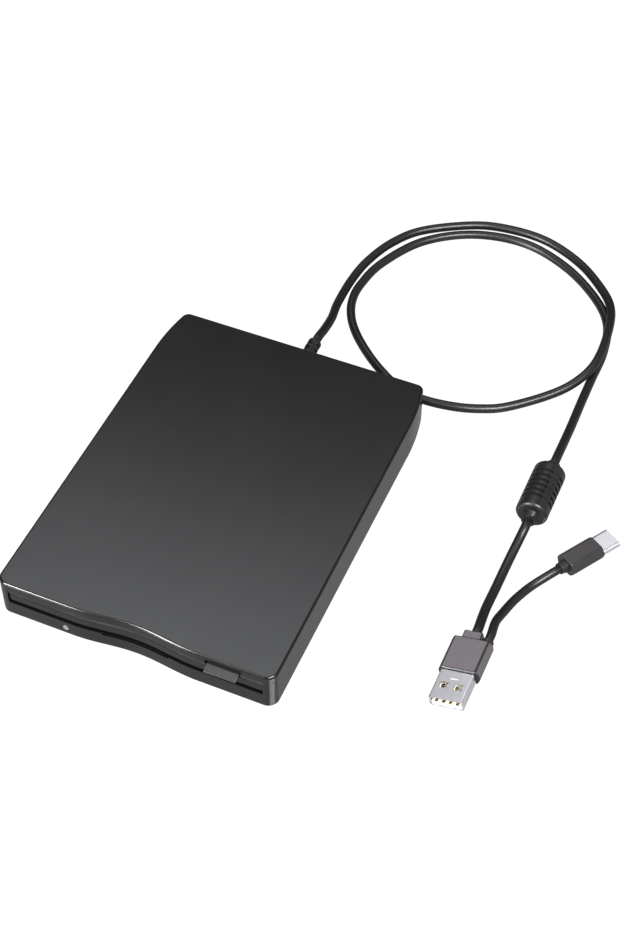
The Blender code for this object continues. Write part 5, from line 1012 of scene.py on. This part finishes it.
def make_flap():
    flap = raised("slot_flap", wavy_strip(*FLAP_PANEL), FLAP_STEP, FLAP_TOP)
    fuse(flap, raised("flap_foot", wavy_strip(*FLAP_FOOT), FLAP_LOW, FLAP_STEP + JOIN))
    y, z = FLAP_AXIS
    inner = FLAP_HALF - FLAP_EAR
    room, reach = SPRING_ROOM
    carve(flap, block("spring_room", (inner - room, front_y, z), (inner, y + reach, z + reach)))
    for sign in (-1, 1):
        near, far = sorted((sign * inner, sign * FLAP_HALF))
        start = inner - room if sign > 0 else inner
        end = FLAP_HALF + FLAP_PIN[1]
        behind = front_y + FLAP_FOOT[1] - JOIN
        fuse(
            flap,
            block("web", (near, behind, z), (far, y + FLAP_PIN[0], SLOT_LOW)),
            pin("ear", FLAP_EAR, (near, y, z), (far, y, z)),
            pin("pin", FLAP_PIN[0], (sign * start, y, z), (sign * end, y, z), 24),
        )
    return present(flap, "dust_flap", "flap", "black_plastic", CASE_BLACK)


make_flap()

# %% [markdown]
# ## Eject button and activity lamp
# The button is a moulded cap on the slider's stem. Its top slopes down to the front, which is
# the face that catches the light, and a small radius breaks its edges. The lamp is an oval
# light pipe pressed into the lip from behind, with a slight dome.

# %% Button and lamp
BUTTON_EDGE = 0.00012
BUTTON_CHAMFER = 0.00045
BUTTON_SLOPE = (0.0030, 0.0010)
STEM_HALF = 0.0043
BUTTON_ROOF = 0.00035
SEAT_GAP = 0.0003
LENS_EDGE = 0.0003
PIPE_HALF = 0.001
PIPE_Z = (0.0025, 0.0031)


def make_button():
    """A cap with a sloped face on top, a chamfer below and a groove for the stem."""
    low, high = button_low, button_high
    section = [
        (low.y, high.z - BUTTON_SLOPE[1]),
        (low.y, low.z + BUTTON_CHAMFER),
        (low.y + BUTTON_CHAMFER, low.z),
        (high.y, low.z),
        (high.y, high.z),
        (low.y + BUTTON_SLOPE[0], high.z),
    ]
    cap = pull(flat_outline("button_cap", section), [(0, 0, high.x - low.x)])
    cap.rotation_euler = SIDEWAYS
    cap.location.x = low.x
    settle(cap)
    round_edges(cap, BUTTON_EDGE, 3, lambda edge: sharp(edge, 15))
    middle = (low.x + high.x) / 2
    groove = block(
        "stem_groove",
        (middle - STEM_HALF, front_y - SEAT_GAP, low.z - JOIN),
        (middle + STEM_HALF, high.y + JOIN, high.z - BUTTON_ROOF),
    )
    carve(cap, groove)
    # Its lighter grey is partly a painted reflection on the sloped top.
    return present(cap, "eject_button", "slider", "black_plastic", BUTTON_GREY_AND_SHEEN)


def make_lamp():
    lens = lamp_oval("lamp_window", 0, lens_low.y, front_y + CASE_WALL + LAMP_GAP)
    face = lens_low.y + SMALL
    round_edges(lens, LENS_EDGE, 4, lambda edge: all(vert.co.y < face for vert in edge.verts))
    x = LAMP_PLACE[0]
    low = (x - PIPE_HALF, front_y + CASE_WALL, PIPE_Z[0])
    pipe = block("light_pipe", low, (x + PIPE_HALF, lens_high.y, PIPE_Z[1]))
    fuse(lens, pipe)
    return present(lens, "lamp_lens", "base", "lamp_plastic", LENS_CLEAR)


make_button()
make_lamp()

# %% [markdown]
# ## Strain relief and ferrite sleeve
# Both are moulded round the cord, so both are turned shapes: a disc pulled along the axis and
# resized ring by ring. The ferrite inside is a plain tube, and the sleeve over it has shrink
# grooves that keep its wall even. Two plain ribs, where the mould parts, bridge them.

# %% Turned pieces
RING_STEP = 0.0028
RING_WIDTH = 0.0015
RING_COUNT = 3
RING_EDGE = 0.00012
RELIEF_CORE = 0.0020
RELIEF_RING = 0.00265
RELIEF_BASE = 0.0030
RELIEF_NECK = 0.0025
RELIEF_TIP = 0.0022
RELIEF_FLANGE = 0.0008
RELIEF_RUNOUT = 0.0006
SLEEVE_LENGTH = 0.0228
SLEEVE_EDGE = 0.0014
SLEEVE_GROOVES = 6
SLEEVE_PITCH = 0.0025
SLEEVE_GROOVE = 0.0011
SLEEVE_DEPTH = 0.0009
SLEEVE_BOOT = 0.0026
SLEEVE_LIP = 0.0004
SLEEVE_RIM = 0.0012
SLEEVE_RIB = 0.0032
SLEEVE_TURN = math.radians(-54)


def make_strain_relief():
    """Flange and neck in the wall, a short taper, then three rings on a thin core."""
    length = relief_high.y - rear_y
    core, ring, neck = RELIEF_CORE, RELIEF_RING, RELIEF_NECK
    flange = (relief_high.z - relief_low.z) / 2
    first = length - RELIEF_RUNOUT - RING_STEP * RING_COUNT
    inner = -CASE_WALL - SEAT_GAP
    profile = [(flange, inner - RELIEF_FLANGE), (flange, inner)]
    profile += [(neck, inner), (neck, SEAT_GAP)]
    profile += [(RELIEF_BASE, SEAT_GAP), (ring, first), (core, first)]
    for number in range(RING_COUNT):
        low = first + RING_STEP * (number + 1) - RING_WIDTH
        profile += [(core, low), (ring, low), (ring, low + RING_WIDTH), (core, low + RING_WIDTH)]
    profile += [(RELIEF_TIP, length)]
    relief = turned("cord_gland", profile, (0, rear_y, GLAND_Z))
    round_edges(relief, RING_EDGE, 2, lambda edge: sharp(edge, 50))
    return present(relief, "strain_relief", "base", "black_plastic", BOOT_BLACK)


def make_sleeve():
    half = SLEEVE_LENGTH / 2
    radius = FERRITE_Z
    inner = radius - SLEEVE_EDGE
    quarter = math.pi / 2
    boot, thin, wide = SLEEVE_BOOT, SLEEVE_BOOT - SLEEVE_LIP, SLEEVE_BOOT + SLEEVE_LIP
    front, rear = -FERRITE_END + SLEEVE_RIM, FERRITE_END - SLEEVE_RIM
    profile = [(thin, -FERRITE_END), (boot, -FERRITE_END), (boot, front), (thin, front)]
    profile += [(wide, -half)]
    profile += arc((inner, SLEEVE_EDGE - half), SLEEVE_EDGE, -quarter, 0, 6)
    for number in range(SLEEVE_GROOVES):
        middle = SLEEVE_PITCH * (number - (SLEEVE_GROOVES - 1) / 2)
        low, high = middle - SLEEVE_GROOVE / 2, middle + SLEEVE_GROOVE / 2
        deep = radius - SLEEVE_DEPTH
        profile += [(radius, low), (deep, low), (deep, high), (radius, high)]
    profile += arc((inner, half - SLEEVE_EDGE), SLEEVE_EDGE, 0, quarter, 6)
    profile += [(wide, half), (thin, rear), (boot, rear), (boot, FERRITE_END)]
    profile += [(thin, FERRITE_END)]
    sleeve = turned("ferrite_cover", profile, (0, 0, 0))
    reach = half - SLEEVE_EDGE
    side = math.sqrt(radius**2 - (SLEEVE_RIB / 2) ** 2)
    fuse(sleeve, block("rib", (-side, -reach, -SLEEVE_RIB / 2), (side, reach, SLEEVE_RIB / 2)))
    round_edges(sleeve, RING_EDGE, 2, lambda edge: sharp(edge, 50))
    sleeve.rotation_euler.y = SLEEVE_TURN
    sleeve.location = (FERRITE_X, FERRITE_Y, FERRITE_Z)
    settle(sleeve)
    return present(sleeve, "ferrite_sleeve", "base", "black_plastic", BOOT_BLACK)


gland = make_strain_relief()
sleeve = make_sleeve()

# %% [markdown]
# ## USB-A plug
# The housing is a moulding with a flat painted plate above and cheeks at the sides. Its collar
# and ends are its own black, and its broken edges are black too, as a painted dark reflection
# for the dark lines that such edges mirror. The shell is folded from nickel-plated sheet, with
# two windows that the socket's springs catch. Four gilt contacts lie on the white tongue.

# %% USB-A plug
A_LENGTH = 0.0142
A_HALF = 0.0031
A_FLAT = 0.0062
A_FULL = 0.0074
A_SHOULDER = 0.0010
A_EDGE = 0.0005
A_COLLAR = (0.0034, 0.0025)
A_COLLAR_EDGE = 0.0004
A_BOSS = 0.0021
PLATE_AREA = 0.000004
PLATE_LEVEL = 0.95
CHEEK_LEVEL = 0.7
A_SHELL = (0.012, 0.0045, 0.0119)
A_WINDOW = 0.0026
A_WINDOW_INSET = 0.0058
A_FOLD = 0.0005
A_RIDGE_HALF = 0.0013
A_RIDGE_INSET = (0.0091, 0.0087)
A_RIDGE_RISE = 0.0001
SHEET = 0.0003
A_TONGUE = 0.0013
A_CONTACT = (0.0011, 0.0075, 0.0001)
A_CONTACT_PITCH = 0.0025


def box_section(half_width, half_height, shift=0.0):
    return [
        (shift - half_width, -half_height),
        (shift + half_width, -half_height),
        (shift + half_width, half_height),
        (shift - half_width, half_height),
    ]


def mirrored(points):
    """A section from its right half, listed from the lowest point to the highest."""
    return points + [(-x, z) for x, z in reversed(points)]


def paint(obj, slot, place, test):
    """Gives the faces that pass a test another of the piece's materials."""
    turn = place.to_3x3().inverted()
    for face in obj.data.polygons:
        if test(turn @ face.normal, face.area):
            face.material_index = slot


# Faces that fail this test keep the first, black material. On the broken edges that black is a
# painted dark reflection.
def plate_or_cheek(normal, area):
    return area > PLATE_AREA and (normal.z > PLATE_LEVEL or abs(normal.x) > CHEEK_LEVEL)


def fold(edge):
    """A long edge of the shell, along the plug."""
    one, two = edge.verts
    return sharp(edge, 60) and abs(one.co.y - two.co.y) > A_WINDOW


def make_usb_a():
    half = [(A_FLAT, -A_HALF), (A_FULL, -A_SHOULDER), (A_FULL, A_SHOULDER), (A_FLAT, A_HALF)]
    housing = drawn_out("plug_a_housing", mirrored(half), 0, A_LENGTH)
    round_edges(housing, A_EDGE, 3, lambda edge: sharp(edge, 20))
    around_cord = box_section(*A_COLLAR, USB_A_CORD_SHIFT)
    collar = drawn_out("collar", around_cord, -USB_A_COLLAR, JOIN)
    round_edges(collar, A_COLLAR_EDGE, 3, lambda edge: sharp(edge, 60))
    x, _, z = USB_A_BRANCH
    boss = pin("branch_boss", A_BOSS, (x, USB_A_BRANCH.y, z), (x, JOIN, z))
    fuse(housing, collar, boss)
    put_on(housing, USB_A_PLACE)
    present(housing, "usb_a_housing", "base", "plug_metal", PLUG_BLACK_AND_EDGE_REFLECTION, PLUG_MAUVE)
    paint(housing, 1, USB_A_PLACE, plate_or_cheek)
    start = A_LENGTH + SEAT_GAP
    end = start + A_SHELL[2]
    side, top = A_SHELL[0] / 2, A_SHELL[1] / 2
    shell = drawn_out("plug_a_shell", box_section(side, top), start, end)
    round_edges(shell, A_FOLD, 4, fold)
    inside = box_section(side - SHEET, top - SHEET)
    carve(shell, drawn_out("bore", inside, start + SHEET, end + OVERRUN))
    for sign in (-1, 1):
        x, y = sign * A_WINDOW, end - A_WINDOW_INSET
        low = (x - A_WINDOW / 2, y - A_WINDOW / 2, -A_SHELL[1])
        carve(shell, block("window", low, (x + A_WINDOW / 2, y + A_WINDOW / 2, A_SHELL[1])))
    back, front = (end - inset for inset in A_RIDGE_INSET)
    low, high = (-A_RIDGE_HALF, back, top - JOIN), (A_RIDGE_HALF, front, top + A_RIDGE_RISE)
    fuse(shell, block("ridge", low, high))
    put_on(shell, USB_A_PLACE)
    present(shell, "usb_a_shell", "base", "nickel", NICKEL)
    low = SEAT_GAP - top + SHEET
    wide = side - SHEET - SEAT_GAP
    root = (-wide, start + SHEET + SEAT_GAP, low)
    tongue = block("plug_a_tongue", root, (wide, end - SEAT_GAP, low + A_TONGUE))
    tongue.data.materials.append(SOCKET_WHITE)
    bars = []
    for number in range(4):
        x = A_CONTACT_PITCH * (number - 1.5)
        top = low + A_TONGUE
        contact = block(
            f"contact_{number}",
            (x - A_CONTACT[0] / 2, end - SEAT_GAP - A_CONTACT[1], top - JOIN),
            (x + A_CONTACT[0] / 2, end - SEAT_GAP - SMALL, top + A_CONTACT[2]),
        )
        contact.data.materials.append(GOLD)
        bars.append(contact)
    only(tongue)
    for contact in bars:
        contact.select_set(True)
    bpy.ops.object.join()
    put_on(tongue, USB_A_PLACE)
    present(tongue, "usb_a_tongue", "base", "white_plastic")
    return [housing, shell, tongue]


usb_a_pieces = make_usb_a()

# %% [markdown]
# ## USB-C plug
# The same moulding in small. Its shell is drawn as one oval tube without a seam, which is why
# it looks cleaner than the folded one.

# %% USB-C plug
C_LENGTH = 0.0143
C_HALF = 0.00315
C_FLAT = 0.00285
C_FULL = 0.0047
C_EDGE = 0.0004
C_SHELL = (0.0083, 0.0024, 0.0072)
C_COLLAR = 0.0024
C_GROOVE = 0.0006


def oval(width, height):
    """Oval section with straight upper and lower runs."""
    radius = height / 2
    side = (width - height) / 2
    return arc((side, 0), radius, -math.pi / 2, math.pi / 2, 10) + arc(
        (-side, 0), radius, math.pi / 2, 3 * math.pi / 2, 10
    )


def make_usb_c():
    shoulder, rise = (C_FLAT + 2 * C_FULL) / 3, C_HALF / 2
    half = [(C_FLAT, -C_HALF), (shoulder, -rise), (C_FULL, 0), (shoulder, rise), (C_FLAT, C_HALF)]
    housing = drawn_out("plug_c_housing", mirrored(half), 0, C_LENGTH)
    round_edges(housing, C_EDGE, 3, lambda edge: sharp(edge, 20))
    thin = C_COLLAR - C_GROOVE / 2
    collar = turned(
        "collar_c",
        [
            (thin, -USB_C_COLLAR),
            (thin, -USB_C_COLLAR / 2),
            (C_COLLAR, -USB_C_COLLAR / 2),
            (C_COLLAR, -C_GROOVE),
            (thin, -C_GROOVE),
            (thin, JOIN),
        ],
        (0, 0, 0),
    )
    fuse(housing, collar)
    put_on(housing, USB_C_PLACE)
    # The black first material again paints the dark reflection on the broken edges.
    present(housing, "usb_c_housing", "base", "plug_metal", PLUG_BLACK_AND_EDGE_REFLECTION, PLUG_DARK)
    paint(housing, 1, USB_C_PLACE, plate_or_cheek)
    start = C_LENGTH + SEAT_GAP
    end = start + C_SHELL[2]
    shell = drawn_out("plug_c_shell", oval(C_SHELL[0], C_SHELL[1]), start, end)
    inside = oval(C_SHELL[0] - 2 * SHEET, C_SHELL[1] - 2 * SHEET)
    carve(shell, drawn_out("bore", inside, start + SHEET, end + OVERRUN))
    put_on(shell, USB_C_PLACE)
    present(shell, "usb_c_shell", "base", "nickel", NICKEL)
    return [housing, shell]


usb_c_pieces = make_usb_c()

# %% View layer update
bpy.context.view_layer.update()
